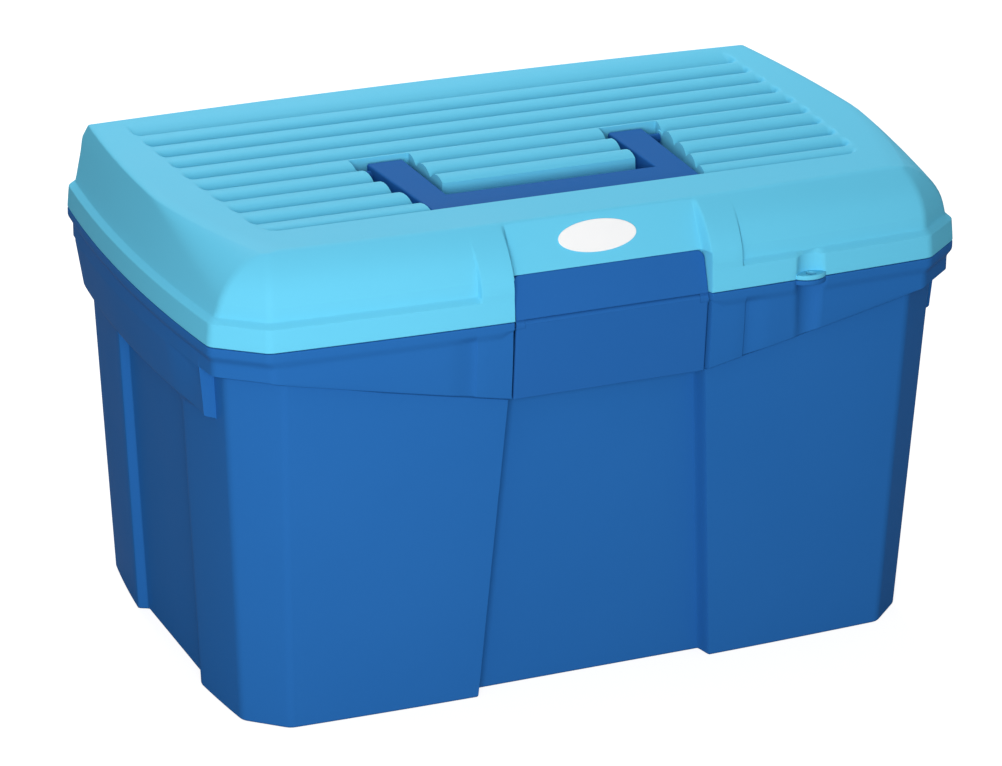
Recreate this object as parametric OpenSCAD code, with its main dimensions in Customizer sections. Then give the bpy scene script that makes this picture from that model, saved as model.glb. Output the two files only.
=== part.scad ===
// Grooming box: a moulded tub with a hinged lid, a carry handle that folds into the lid,
// a wide front latch, and a lift-out tray. X runs along the front, -Y is the front, Z is up,
// and the origin is the middle of the base, on the surface that the box stands on.

/* [Box] */
// Width across the lid's rim, at the middle of the ends
box_w = 400; // [340:1:460]
// Depth across the lid's rim, at the middle of the front
box_d = 259; // [220:1:300]
// Height of the tub, up to its joint with the lid
tub_h = 198.5; // [160:0.5:240]
// How far the ends bulge out at their middle
end_bow = 5.8; // [2:0.1:9]
// How far the front and back bulge out at their middle
front_bow = 4.8; // [2:0.1:8]
// Cut-off corner of the rim, measured along the front
corner_w = 23; // [16:0.5:30]
// Cut-off corner of the rim, measured along the end
corner_d = 19; // [14:0.5:26]

/* [Tub] */
// Thickness of the tub's walls
wall = 2.6; // [2:0.1:3.2]
// Thickness of the tub's floor
floor_t = 3; // [2:0.1:5]
// How far the rim stands out past the end walls
rim_out_w = 8.2; // [6:0.1:12]
// How far the rim stands out past the front and back walls
rim_out_d = 4.2; // [3.6:0.1:6]
// How far each end wall leans in on its way down to the base
lean_w = 9.2; // [2:0.1:14]
// How far the front and back walls lean in on their way down to the base
lean_d = 9.4; // [2:0.1:14]
// How much smaller the base's corners are than the rim's, along the front
corner_loss_w = 4.4; // [0:0.1:8]
// How much smaller the base's corners are than the rim's, along the end
corner_loss_d = 2; // [0:0.1:6]
// Height of the flange under the lid's rim
flange_h = 4; // [3:0.1:6]
// Height of the raised band round the top of the tub, flange included
band_h = 16; // [12:0.5:24]
// How far the band is set back from the rim at the ends
band_set_w = 2.2; // [1:0.1:3.5]
// How far the band is set back from the rim at the front and back
band_set_d = 1.2; // [0.6:0.1:2]
// How far the front band drops below the joint, beside the latch
valance_drop = 40.3; // [30:0.1:60]
// How far the end bands drop below the joint
end_band_drop = 48.5; // [34:0.5:60]
// How far the end bands reach from the middle of the box, to the front and to the back
end_band_front = 90; // [60:1:92]
end_band_back = 98; // [60:1:100]
// How far the front band leans in towards its lower edge
valance_lean = 1.6; // [0.4:0.1:2]
// How far the end bands lean in towards their lower edge
end_band_lean = 3.6; // [2:0.1:4]
// Height of the sloping underside of the end bands
end_band_slope = 9; // [4:0.5:12]
// How far the base's ends bulge out at their middle
base_end_bow = 6.9; // [4:0.1:9]
// How much flatter the base's front and back are than the rim's
bow_loss_d = 1.4; // [0:0.1:2]
// Height of the locating lip that stands up inside the lid
lip_h = 6; // [4:0.1:8]
// Thickness of that lip
lip_t = 1.6; // [1.2:0.1:2]

/* [Wall panels] */
// Width of the sunk front panel at the base
panel_base_w = 122; // [110:1:150]
// Depth of the sunk front panel
panel_depth = 9.5; // [7:0.1:11]
// Width of the sunk panel in each end wall
end_panel_w = 89; // [60:1:110]
// Depth of the sunk panels in the end walls
end_panel_depth = 6.6; // [5:0.1:9]

/* [Lid] */
// Thickness of the lid's walls
lid_wall = 2.4; // [1.8:0.1:3]
// Gap between the tub's flange and the lid's rim
seam = 0.3; // [0.2:0.05:0.6]
// Height of the lid's rim
rim_h = 11.4; // [9:0.1:14]
// How far the lid's dome is set back from its rim
rim_step = 4.1; // [3.6:0.1:6]
// Height of the sloping step from the rim to the dome
step_h = 2.4; // [1:0.1:4]
// Height of the lid's dome above that step
dome_h = 28; // [24:0.5:29]
// Radius of the roll up the lid's front, which meets the top in a crease
roll_r = 31.2; // [30:0.2:36]
// Radius of the roll along the ends, at the front corners
end_roll_r = 22; // [14:0.5:26]
// Width of the raised strips beside the latch's channel
strip_w = 17.7; // [10:0.1:24]
// Clearance round the locating lip
lip_gap = 0.4; // [0.3:0.05:0.6]

/* [Ribs on the lid] */
// Number of ribs
rib_count = 9; // [7:1:9]
// Distance from rib to rib
rib_pitch = 18; // [16:0.5:18]
// Height of the ribs above the grooves between them
rib_h = 4; // [2:0.1:4.1]
// Width of the roll behind the ribs, from the last groove up to the plain back
back_roll_w = 16.5; // [12:0.5:17]
// Width of the ribbed field at the back
field_back_w = 334.6; // [280:0.2:340]
// Width of the ribbed field at the front
field_front_w = 308; // [260:1:312]
// Distance from the middle of the box to the front of the ribbed field
field_front = 78.5; // [74:0.5:82]

/* [Carry handle] */
// Width of the handle's well at the back
well_back_w = 164.6; // [158:0.2:176]
// Width of the handle's well at the front
well_front_w = 141; // [138:1:150]
// Width of the handle's well beside the front of the island
well_mid_w = 155; // [150:1:162]
// Depth of the well below the top of the lid
well_depth = 18.6; // [16:0.2:21]
// Distance from the middle of the box to the back of the well
well_back = 3; // [1:0.2:5]
// Width of the ribbed island inside the well
island_w = 102.6; // [90:0.2:104]
// Distance from the middle of the box to the island's front
island_front = 40.4; // [38:0.2:43]
// Thickness of the handle
handle_t = 9.6; // [8:0.2:11]
// How far the handle lies below the top of the lid
handle_drop = 2; // [1.6:0.1:3]
// Width of the grip, from its front to its back
grip_w = 20.4; // [18:0.2:21]
// Finger gap between the handle and the island
island_gap = 14.2; // [12:0.2:16]
// Clearance between the front of the handle and the sides of the well
handle_gap = 1.2; // [0.8:0.1:3]
// Width of the handle's arms beside the grip
arm_w = 16; // [13:0.5:17]
// How far each arm spreads outwards on the way to its end
arm_splay = 4; // [0:0.5:5]
// Clearance between the arms' round ends and the back of the well
heel_gap = 1.8; // [1.4:0.1:3]
// Radius of the handle's pivot pins
pivot_r = 2.5; // [2:0.1:3]

/* [Latch] */
// Width of the latch's channel in the lid and the tub
channel_w = 100.6; // [92:0.2:106]
// Height of the latch's upper plate above the joint
latch_up = 20.2; // [16:0.1:22]
// How deep the upper plate lies in the lid, at its top
latch_sink = 4; // [3:0.1:5]
// How far the latch is set back from the rim at the joint
latch_set = 2; // [1:0.1:2.6]
// How far the flap leans in towards its lower edge
flap_lean = 2.6; // [1:0.1:4]
// Thickness of the latch's plates
latch_t = 2.6; // [2:0.1:3]
// Radius of the flap's hinge barrel
barrel_r = 2.2; // [2:0.05:2.5]
// Radius of the latch pin
latch_pin_r = 1; // [0.8:0.05:1.2]
// Clearance beside the latch in its channel
latch_gap = 0.5; // [0.3:0.05:0.8]
// How far the oval plate lies left of the middle, and above the middle of its panel
label_left = 3; // [0:0.1:5]
label_up = 0.8; // [0:0.1:2]

/* [Back hinges] */
// Distance from the middle of the box to each hinge
hinge_x = 110; // [80:1:130]
// Outer radius of the hinge knuckles
knuckle_r = 4.5; // [4:0.1:5]
// Radius of the hinge pins
hinge_pin_r = 2; // [1.5:0.1:2.4]
// Length of the lid's knuckle
lid_knuckle = 20; // [14:0.5:28]
// Length of each tub knuckle
tub_knuckle = 10; // [8:0.5:16]

/* [Padlock eye] */
// Distance from the middle of the box to the eye
eye_x = 104; // [84:0.5:124]
// Radius of the hole for the padlock's shackle
eye_r = 2.5; // [2:0.1:2.8]
// Radius of the eye's lip
eye_lip_r = 11; // [9:0.1:12]
// Thickness of the lip, on the lid and on the tub
eye_lip_t = 2.4; // [2:0.1:4]
// How far the lip stands out from the rim
eye_out = 3.6; // [3:0.1:4.5]
// Radius of the hollow above and below the lip
eye_hollow_r = 9.4; // [8:0.1:10.5]

/* [Tray] */
// Thickness of the tray's walls
tray_wall = 2; // [1.4:0.1:3]
// Depth of the tray
tray_h = 52; // [35:0.5:70]
// Clearance between the tray and the tub
tray_gap = 1.2; // [0.6:0.1:2]

/* [Hidden] */
$fn = 48;
// Overrun of every cut past the face it opens
over = 1;
// Straight pieces that stand for each bowed side, and for the roll of the lid
bow_steps = 8;
roll_steps = 7;
// Radial clearance of a pin in its bore, and end clearance between knuckles
pin_gap = 0.05;
side_gap = 0.4;
// Gap between fixed plates that lie on each other
seat_gap = 0.05;
// Smallest corner left where the lid's end meets its front
corner_min = 0.6;
// How a cut-off corner shrinks when its outline is set in by a wall
corner_share = 2 - sqrt(2);
// How fast the lid's sides lean in on the way up
end_lean_share = 0.3;
back_lean_share = 0.55;

// An outline is its half width, half depth, corner along the front, corner along the end,
// bulge of the ends and bulge of the front and back
rim = [box_w / 2 - end_bow, box_d / 2 - front_bow, corner_w, corner_d, end_bow, front_bow];
wall_top = rim - [rim_out_w, rim_out_d, 0, 0, 0, 0];
base = wall_top - [lean_w, lean_d, corner_loss_w, corner_loss_d,
    end_bow - base_end_bow, bow_loss_d];
band = rim - [band_set_w, band_set_d, 0, 0, 0, 0];
band_foot = band - [0, valance_lean, 0, 0, 0, 0];
function set_in(outline, d) =
    outline - d * [1, 1, corner_share, corner_share, 0, 0];
function wall_at(z) = base + (wall_top - base) * z / tub_h;
end_band_foot = band - [end_band_lean, 0, 0, 0, 0, 0];

// The bowed, cut-cornered outline as points, from the front left corner round to the right
function bowed(half, side, bow) =
    [for (i = [0:bow_steps]) let (a = half * (2 * i / bow_steps - 1))
        [a, side + bow * (1 - pow(a / half, 2))]];
function plan(outline) =
    let (long = bowed(outline[0] - outline[2], outline[1], outline[5]),
        short = bowed(outline[1] - outline[3], outline[0], outline[4]))
    concat([for (p = long) [p[0], -p[1]]], [for (p = short) [p[1], p[0]]],
        [for (p = long) [-p[0], p[1]]], [for (p = short) [-p[1], -p[0]]]);

// A closed skin over rings of points, each ring with its own height
module skin(rings, heights) {
    n = len(rings[0]);
    last = len(rings) - 1;
    points = [for (k = [0:last]) for (p = rings[k]) [p[0], p[1], heights[k]]];
    sides = [for (k = [0:last - 1]) for (i = [0:n - 1])
        let (a = k * n + i, b = k * n + (i + 1) % n, c = b + n, d = a + n)
        each [[a, d, c], [a, c, b]]];
    floor_face = [for (i = [0:n - 1]) i];
    roof_face = [for (i = [n - 1:-1:0]) last * n + i];
    polyhedron(points, concat(sides, [floor_face], [roof_face]), convexity = 8);
}
module slab(outline, low, high) {
    skin([plan(outline), plan(outline)], [low, high]);
}
// A profile in Y and Z carried along X, and a profile in X and Z carried along Y
module along_x(w) {
    rotate([90, 0, 90]) linear_extrude(w, center = true) children();
}
module along_y(front, back) {
    translate([0, back, 0]) rotate([90, 0, 0]) linear_extrude(back - front) children();
}
// A round bar along X
module bar(x0, x1, y, z, r) {
    translate([x0, y, z]) rotate([0, 90, 0]) cylinder(h = x1 - x0, r = r);
}
module block(x0, x1, y0, y1, z0, z1) {
    translate([x0, y0, z0]) cube([x1 - x0, y1 - y0, z1 - z0]);
}

// Levels of the tub
band_z = tub_h - band_h;
flange_z = tub_h - flange_h;
ledge_z = band_z + wall;
valance_z = tub_h - valance_drop;
end_band_z = tub_h - end_band_drop;
// Levels of the lid
lid_z = tub_h + seam;
dome_z = lid_z + rim_h + step_h;
lid_top = dome_z + dome_h;
// The front of the rim, at its middle and at any place along the front
rim_front = rim[1] + rim[5];
function rim_at(x) = rim[1] + rim[5] * (1 - pow(x / (rim[0] - rim[2]), 2));
// Half of the latch's channel, and the latch's profile in Y and Z: its joint with the flap,
// its top, and the top of the sunk panel above it
channel = channel_w / 2;
roll_y = rim_front - rim_step - roll_r;
function roll_at(z) = roll_y + sqrt(pow(roll_r, 2) - pow(z - dome_z, 2));
latch_joint = [-(rim_front - latch_set), tub_h];
latch_top = [-(roll_at(tub_h + latch_up) - latch_sink), tub_h + latch_up];
label_top = [-roll_at(lid_top), lid_top];
latch_axis = latch_joint + [barrel_r, -barrel_r - seam];
shelf_y = latch_axis[0] + barrel_r + latch_gap;
plate_run = (latch_top - latch_joint) / norm(latch_top - latch_joint);
plate_in = [plate_run[1], -plate_run[0]];
label_run = (label_top - latch_top) / norm(label_top - latch_top);
label_in = [label_run[1], -label_run[0]];
flap_foot = [latch_axis[0] - barrel_r + flap_lean, valance_z];
latch_half = channel - latch_gap;
ear = barrel_r * 2;
// Pegs that hold the latch's upper plate in the lid
peg_r = latch_t;
peg_x = channel / 2;
peg_at = (latch_joint + latch_top) / 2;
// The padlock eye
eye_y = -rim_at(eye_x) - (eye_out - rim_step) / 2;
eye_lip_y = -rim_at(eye_x) - eye_out + eye_lip_r;
hollow_y = -rim_at(eye_x) + rim_step - eye_hollow_r;
// The back hinges
hinge_y = rim_at(hinge_x) + knuckle_r * 2 / 3;
hinge_z = tub_h + seam / 2;
knuckle_gap = knuckle_r / 6;
hinge_half = lid_knuckle / 2 + side_gap + tub_knuckle;
// The handle's well, as its outline grown by a wall
function well(grow) = let (b = well_back_w / 2 + grow, f = well_front_w / 2 + grow,
    m = well_mid_w / 2 + grow, i = island_w / 2 - grow, yb = well_back + grow,
    yf = -field_front - grow, yi = -island_front + grow)
    [[-b, yb], [-m, -island_front], [-f, yf], [f, yf], [m, -island_front], [b, yb],
        [i, yb], [i, yi], [-i, yi], [-i, yb]];
well_floor = lid_top - well_depth;
function well_side(y) = y > -island_front
    ? (well_mid_w + (well_back_w - well_mid_w)
        * (y + island_front) / (well_back + island_front)) / 2
    : (well_front_w + (well_mid_w - well_front_w)
        * (y + field_front) / (field_front - island_front)) / 2;
// The handle's pivot, arms and grip
pivot_y = well_back - heel_gap - handle_t / 2;
pivot_z = lid_top - handle_drop - handle_t / 2;
grip_back = -island_front - island_gap;
grip_front = grip_back - grip_w;
function arm_out(y) = well_side(grip_front) - handle_gap
    + arm_splay * (y - grip_front) / (pivot_y - grip_front);
pivot_in = arm_out(pivot_y) - arm_w + pivot_r;
pivot_out = well_side(pivot_y) + lid_wall + handle_t / 2;
boss_r = pivot_r + lid_wall * 2 / 3;
// The ribs
field_back = -field_front + rib_count * rib_pitch;
rib_r = (pow(rib_pitch / 2, 2) + pow(rib_h, 2)) / (2 * rib_h);
roll_back = field_back + back_roll_w;
back_roll_r = (pow(back_roll_w, 2) + pow(rib_h, 2)) / (2 * rib_h);
function field_side(y) = (field_front_w + (field_back_w - field_front_w)
    * (y + field_front) / (roll_back + field_front)) / 2;
// The tray
tray_z = ledge_z + tray_wall;
tray_low = tray_z - tray_h;
tray_front = wall_at(tray_low)[1] + wall_at(tray_low)[5] - panel_depth - wall - tray_gap;
tray_end = base[0] + base[4] - end_panel_depth + lean_w * tray_low / tub_h - wall - tray_gap;

// One ring of the lid's dome, set in by a wall from its outer skin
function roll_loss(r, up) = up > 0 ? r - sqrt(max(0, pow(r, 2) - pow(up, 2))) : 0;
function dome_ring(z, w) =
    let (up = z - dome_z, top = dome_h - w, body = set_in(rim, rim_step),
        rolled = roll_loss(roll_r - w, up),
        front = body[1] - w - rolled,
        back = body[1] - w - back_lean_share * max(0, up),
        end = [for (i = [0:bow_steps])
            let (r = (end_roll_r - w) * pow(max(0, 1 - 2 * i / bow_steps), 1.25))
            body[0] - w - end_lean_share * max(0, up) - roll_loss(r, up - top + r)],
        run = norm([body[2], body[3]]),
        cut = (body[3] * body[0] + body[2] * (body[1] - body[3])) / run - w,
        front_cut = cut - rolled,
        end_y = (front_cut * run - body[3] * end[0]) / body[2],
        front_x = (front_cut * run - body[2] * front) / body[3],
        whole = end_y > front - corner_min,
        ye = whole ? front - corner_min : end_y,
        xf = whole ? end[0] - corner_min : front_x,
        back_end_y = (cut * run - body[3] * end[bow_steps]) / body[2],
        back_x = (cut * run - body[2] * back) / body[3],
        back_whole = back_end_y > back - corner_min,
        yb = back_whole ? back - corner_min : back_end_y,
        xb = back_whole ? end[bow_steps] - corner_min : back_x,
        side = [for (i = [0:bow_steps]) let (s = i / bow_steps)
            [end[i] + end_bow * 4 * s * (1 - s), -ye + (ye + yb) * s]])
    concat([for (p = bowed(xf, front, front_bow)) [p[0], -p[1]]], side,
        [for (p = bowed(xb, back, front_bow)) [-p[0], p[1]]],
        [for (i = [bow_steps:-1:0]) [-side[i][0], side[i][1]]]);
function dome_heights(w) =
    [for (k = [0:roll_steps]) dome_z + (dome_h - w) * sin(90 * k / roll_steps)];

// The sunk front panel of the tub, grown by a wall for the bulge that it makes inside
module front_panel(grow) {
    foot = panel_base_w / 2 + grow;
    head = channel + grow;
    low = -(base[1] + base[5]) + panel_depth + grow;
    high = -(wall_top[1] + wall_top[5]) + panel_depth + grow;
    intersection() {
        along_y(-box_d, 0) polygon([[-foot, -over], [foot, -over], [head, valance_z],
            [head, tub_h + over], [-head, tub_h + over], [-head, valance_z]]);
        along_x(box_w) polygon([[-box_d, -over], [low, -over], [high, tub_h + over],
            [-box_d, tub_h + over]]);
    }
}
// The sunk panel of one end wall, likewise
module end_panel(grow) {
    low = base[0] + base[4] - end_panel_depth - grow;
    high = low + lean_w * (end_band_z + grow) / tub_h;
    half = end_panel_w / 2 + grow;
    along_y(-half, half) polygon([[low, -over], [box_w, -over], [box_w, end_band_z + grow],
        [high, end_band_z + grow]]);
}
module both_ends() {
    children();
    mirror([1, 0, 0]) children();
}
// The raised front band, whose lower edge falls from the corners to the latch
module valance() {
    reach = rim[0] - rim[2];
    intersection() {
        skin([plan(band_foot), plan(band)], [valance_z, band_z]);
        along_y(-box_d, 0) polygon([[-reach, band_z], [-channel, valance_z],
            [channel, valance_z], [reach, band_z]]);
    }
}
module end_bands() {
    intersection() {
        skin([plan(set_in(wall_at(end_band_z), seam)), plan(end_band_foot), plan(band)],
            [end_band_z, end_band_z + end_band_slope, band_z]);
        block(-box_w, box_w, -end_band_front, end_band_back, 0, tub_h);
    }
}
module tub_cavity() {
    difference() {
        union() {
            skin([plan(set_in(wall_at(floor_t), wall)), plan(set_in(wall_at(ledge_z), wall))],
                [floor_t, ledge_z]);
            slab(set_in(band, wall), ledge_z, tub_h + over);
        }
        front_panel(wall);
        both_ends() end_panel(wall);
        translate([eye_x, hollow_y, ledge_z - wall])
            cylinder(h = tub_h - ledge_z + wall, r = eye_hollow_r + wall);
    }
}
// The lip that stands up inside the lid's rim, broken at the latch and at the padlock eye
module locating_lip() {
    outer = set_in(rim, lid_wall + lip_gap);
    gap = channel + lid_wall + lip_gap;
    eye_gap = eye_hollow_r + lid_wall + lip_gap;
    difference() {
        slab(outer, flange_z, tub_h + lip_h);
        slab(set_in(outer, lip_t), flange_z - over, tub_h + lip_h + over);
        block(-gap, gap, -box_d, 0, flange_z - over, tub_h + lip_h + over);
        block(eye_x - eye_gap, eye_x + eye_gap, -box_d, 0, tub_h, tub_h + lip_h + over);
    }
}
// One hinge's knuckles on the tub or on the lid, with the web that carries them
module tub_knuckles(x) {
    for (s = [-1, 1]) {
        near = x + s * (lid_knuckle / 2 + side_gap);
        far = x + s * hinge_half;
        bar(min(near, far), max(near, far), hinge_y, hinge_z, knuckle_r);
        block(min(near, far), max(near, far), rim_at(hinge_x) - rim_step, hinge_y,
            flange_z, tub_h);
    }
}
module tub_knuckle_room(x) {
    for (s = [-1, 1]) {
        near = x + s * (lid_knuckle / 2 + side_gap / 2);
        far = x + s * (hinge_half + side_gap);
        bar(min(near, far), max(near, far), hinge_y, hinge_z, knuckle_r + knuckle_gap);
    }
}
module lid_knuckle_bar(x, grow) {
    bar(x - lid_knuckle / 2 - grow / 2, x + lid_knuckle / 2 + grow / 2, hinge_y, hinge_z,
        knuckle_r + grow);
}
module hinge_bores() {
    for (x = [-hinge_x, hinge_x])
        bar(x - hinge_half - over, x + hinge_half + over, hinge_y, hinge_z,
            hinge_pin_r + pin_gap);
}
module eye_hole() {
    translate([eye_x, eye_y, valance_z]) cylinder(h = lid_z + rim_h - valance_z, r = eye_r);
}
// Two wedges on the sunk panel that the flap's bead snaps behind
module catches() {
    reach = flap_foot[0] + latch_t + barrel_r;
    low = valance_z + barrel_r * 2;
    high = low + latch_t;
    deep = -(wall_at(low)[1] + wall_at(low)[5]) + panel_depth + wall / 2;
    for (x = [-peg_x, peg_x])
        translate([x, 0, 0]) along_x(channel / 4)
            polygon([[reach, low], [deep, low], [deep, high + (deep - reach)], [reach, high]]);
}

module tub() {
    color("#2669af")
    difference() {
        union() {
            difference() {
                union() {
                    skin([plan(base), plan(wall_top)], [0, tub_h]);
                    slab(band, band_z, tub_h);
                    slab(rim, flange_z, tub_h);
                    valance();
                    end_bands();
                    translate([eye_x, eye_lip_y, tub_h - eye_lip_t])
                        cylinder(h = eye_lip_t, r = eye_lip_r);
                }
                difference() {
                    front_panel(0);
                    block(-box_w, box_w, shelf_y, 0, flange_z, tub_h + over);
                }
                both_ends() end_panel(0);
                tub_cavity();
                translate([eye_x, hollow_y, valance_z])
                    cylinder(h = tub_h - eye_lip_t - valance_z, r = eye_hollow_r);
            }
            locating_lip();
            catches();
            for (x = [-hinge_x, hinge_x]) tub_knuckles(x);
        }
        for (x = [-hinge_x, hinge_x]) lid_knuckle_bar(x, knuckle_gap);
        hinge_bores();
        eye_hole();
    }
}

// The latch's channel through the lid's front, grown by a wall for the bulge inside
module lid_channel(grow) {
    back = plate_in * (latch_t + seat_gap);
    foot = latch_joint + back - plate_run * flange_h;
    step = latch_top + back;
    head = label_top + label_run * lid_wall;
    shift = [grow / label_in[0], 0];
    along_x(channel_w + 2 * grow)
        polygon([[-box_d, foot[1]], foot + shift, step + shift, latch_top + shift, head + shift,
            [-box_d, head[1]]]);
}
// Raised strips beside the channel, flush with the rim and running out into the roll
module strips() {
    strip_top = lid_top - rib_h / 2;
    rise = strip_top - dome_z;
    intersection() {
        along_x(channel_w + 2 * strip_w)
            polygon(concat([[-roll_y, lid_z + seam], [-rim_front, lid_z + seam]],
                [for (k = [0:roll_steps]) let (t = k / roll_steps, z = dome_z + rise * t)
                    [-roll_at(z) - rim_step * (1 - t * t * (3 - 2 * t)), z]],
                [[-roll_y, strip_top]]));
        slab(set_in(rim, seam), lid_z, lid_top);
    }
}
module rib_field() {
    floor_z = lid_top - rib_h;
    difference() {
        intersection() {
            block(-box_w, box_w, -field_front, roll_back, floor_z, lid_top + over);
            linear_extrude(lid_top + over)
                polygon([[-field_side(-field_front), -field_front],
                    [field_side(-field_front), -field_front],
                    [field_side(roll_back), roll_back], [-field_side(roll_back), roll_back]]);
        }
        for (i = [0:rib_count - 1])
            bar(-box_w, box_w, -field_front + (i + 0.5) * rib_pitch, lid_top - rib_r, rib_r);
        bar(-box_w, box_w, roll_back, lid_top - back_roll_r, back_roll_r);
    }
}
module pivot_bosses() {
    for (s = [-1, 1]) {
        near = s * (well_side(pivot_y) - lid_wall);
        far = s * pivot_out;
        bar(min(near, far), max(near, far), pivot_y, pivot_z, boss_r);
    }
}
module eye_backing() {
    intersection() {
        translate([eye_x, hollow_y, lid_z])
            cylinder(h = rim_h, r = eye_hollow_r + lid_wall);
        slab(rim, lid_z, lid_z + rim_h);
    }
}
module lid_hollow() {
    heights = dome_heights(lid_wall);
    difference() {
        union() {
            skin(concat([dome_ring(dome_z, lid_wall)],
                [for (z = heights) dome_ring(z, lid_wall)]),
                concat([lid_z - over], heights));
            slab(set_in(rim, lid_wall), lid_z - over, lid_z + rim_h - lid_wall / 2);
        }
        lid_channel(lid_wall);
        translate([0, 0, well_floor - lid_wall])
            linear_extrude(well_depth + lid_wall + over) polygon(well(lid_wall));
        translate([0, 0, -rib_h]) block(-field_back_w / 2, field_back_w / 2, -field_front,
            roll_back, lid_top - lid_wall, lid_top);
        eye_backing();
        pivot_bosses();
    }
}

module lid() {
    heights = dome_heights(0);
    color("#59b8e0")
    difference() {
        union() {
            difference() {
                union() {
                    skin(concat([plan(rim), plan(rim)], [for (z = heights) dome_ring(z, 0)]),
                        concat([lid_z, lid_z + rim_h], heights));
                    for (x = [-hinge_x, hinge_x])
                        block(x - lid_knuckle / 2, x + lid_knuckle / 2,
                            rim_at(hinge_x) - rim_step, hinge_y, lid_z, lid_z + knuckle_r);
                    strips();
                    translate([eye_x, eye_lip_y, lid_z]) cylinder(h = eye_lip_t, r = eye_lip_r);
                }
                lid_hollow();
                lid_channel(0);
                rib_field();
                translate([0, 0, well_floor])
                    linear_extrude(well_depth + over) polygon(well(0));
                translate([eye_x, hollow_y, lid_z + eye_lip_t])
                    cylinder(h = rim_h + step_h - eye_lip_t, r = eye_hollow_r);
            }
            for (x = [-hinge_x, hinge_x]) lid_knuckle_bar(x, 0);
        }
        for (x = [-hinge_x, hinge_x]) tub_knuckle_room(x);
        hinge_bores();
        eye_hole();
        for (s = [-1, 1])
            bar(s > 0 ? pivot_in : -pivot_out + lid_wall, s > 0 ? pivot_out - lid_wall : -pivot_in,
                pivot_y, pivot_z, pivot_r + pin_gap);
        latch_pegs(pin_gap);
    }
}

// The handle is one U: a flat grip with an arm at each end, turning on the pivot pins
module carry_handle() {
    low = pivot_z - handle_t / 2;
    side = arm_out(grip_front);
    heel = arm_out(pivot_y);
    crook = arm_out(grip_back) - arm_w;
    color("#265aa5")
    difference() {
        union() {
            translate([0, 0, low]) linear_extrude(handle_t)
                polygon([[-side, grip_front], [side, grip_front], [heel, pivot_y],
                    [crook, pivot_y], [crook, grip_back], [-crook, grip_back],
                    [-crook, pivot_y], [-heel, pivot_y]]);
            for (s = [-1, 1]) {
                near = s * crook;
                far = s * heel;
                bar(min(near, far), max(near, far), pivot_y, pivot_z, handle_t / 2);
            }
        }
        bar(-box_w, box_w, pivot_y, pivot_z, pivot_r + pin_gap);
    }
}
module handle_pivot(s) {
    near = s * pivot_in;
    far = s * (pivot_out - lid_wall);
    bar(min(near, far), max(near, far), pivot_y, pivot_z, pivot_r);
}
module handle_pivot_left() {
    color("#265aa5") handle_pivot(-1);
}
module handle_pivot_right() {
    color("#265aa5") handle_pivot(1);
}

module latch_pegs(grow) {
    turn = atan2(plate_in[1], plate_in[0]);
    for (x = [-peg_x, peg_x])
        translate([x, peg_at[0], peg_at[1]]) rotate([turn, 0, 0]) rotate([-90, 0, 0])
            cylinder(h = latch_t + lid_wall * 2, r = peg_r + grow);
}
// The upper plate is fixed in the lid and carries the flap's pin in two ears
module latch_plate() {
    rise = -plate_in[1] * latch_t / plate_run[1];
    color("#265aa5")
    difference() {
        union() {
            along_x(2 * latch_half) polygon([latch_joint, latch_top,
                latch_top + plate_in * latch_t,
                latch_joint + plate_in * latch_t + plate_run * rise]);
            latch_pegs(0);
            for (s = [-1, 1]) {
                near = s * (latch_half - ear);
                far = s * latch_half;
                bar(min(near, far), max(near, far), latch_axis[0], latch_axis[1], barrel_r);
                block(min(near, far), max(near, far), latch_axis[0] - barrel_r / 2,
                    latch_axis[0] - barrel_r + latch_t, latch_axis[1],
                    latch_joint[1] + barrel_r / 2);
            }
        }
        translate([0, latch_joint[0] - barrel_r * 2, 0]) along_x(box_w)
            polygon([[0, tub_h - over], [barrel_r * 2, tub_h],
                latch_top - [latch_joint[0] - barrel_r * 2, 0], [0, latch_top[1]]]);
        bar(-box_w, box_w, latch_axis[0], latch_axis[1], latch_pin_r + pin_gap);
    }
}
// The flap swings out on the pin; the bead along its foot snaps behind the tub's catches
module latch_flap() {
    brow = latch_axis - [barrel_r, 0];
    color("#265aa5")
    difference() {
        union() {
            along_x(2 * latch_half) polygon([brow, flap_foot, flap_foot + [latch_t, 0],
                brow + [latch_t, 0]]);
            bar(-latch_half + ear + side_gap, latch_half - ear - side_gap,
                latch_axis[0], latch_axis[1], barrel_r);
            bar(-latch_half, latch_half, flap_foot[0] + latch_t, flap_foot[1] + latch_t / 2,
                latch_t / 2);
        }
        for (s = [-1, 1]) {
            near = s * (latch_half - ear - side_gap);
            far = s * (latch_half + over);
            bar(min(near, far), max(near, far), latch_axis[0], latch_axis[1],
                barrel_r + side_gap);
        }
        bar(-box_w, box_w, latch_axis[0], latch_axis[1], latch_pin_r + pin_gap);
    }
}
module latch_pin() {
    color("silver") bar(-latch_half, latch_half, latch_axis[0], latch_axis[1], latch_pin_r);
}

module hinge_pin(x) {
    bar(x - hinge_half, x + hinge_half, hinge_y, hinge_z, hinge_pin_r);
}
module hinge_pin_left() {
    color("silver") hinge_pin(-hinge_x);
}
module hinge_pin_right() {
    color("silver") hinge_pin(hinge_x);
}

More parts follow.
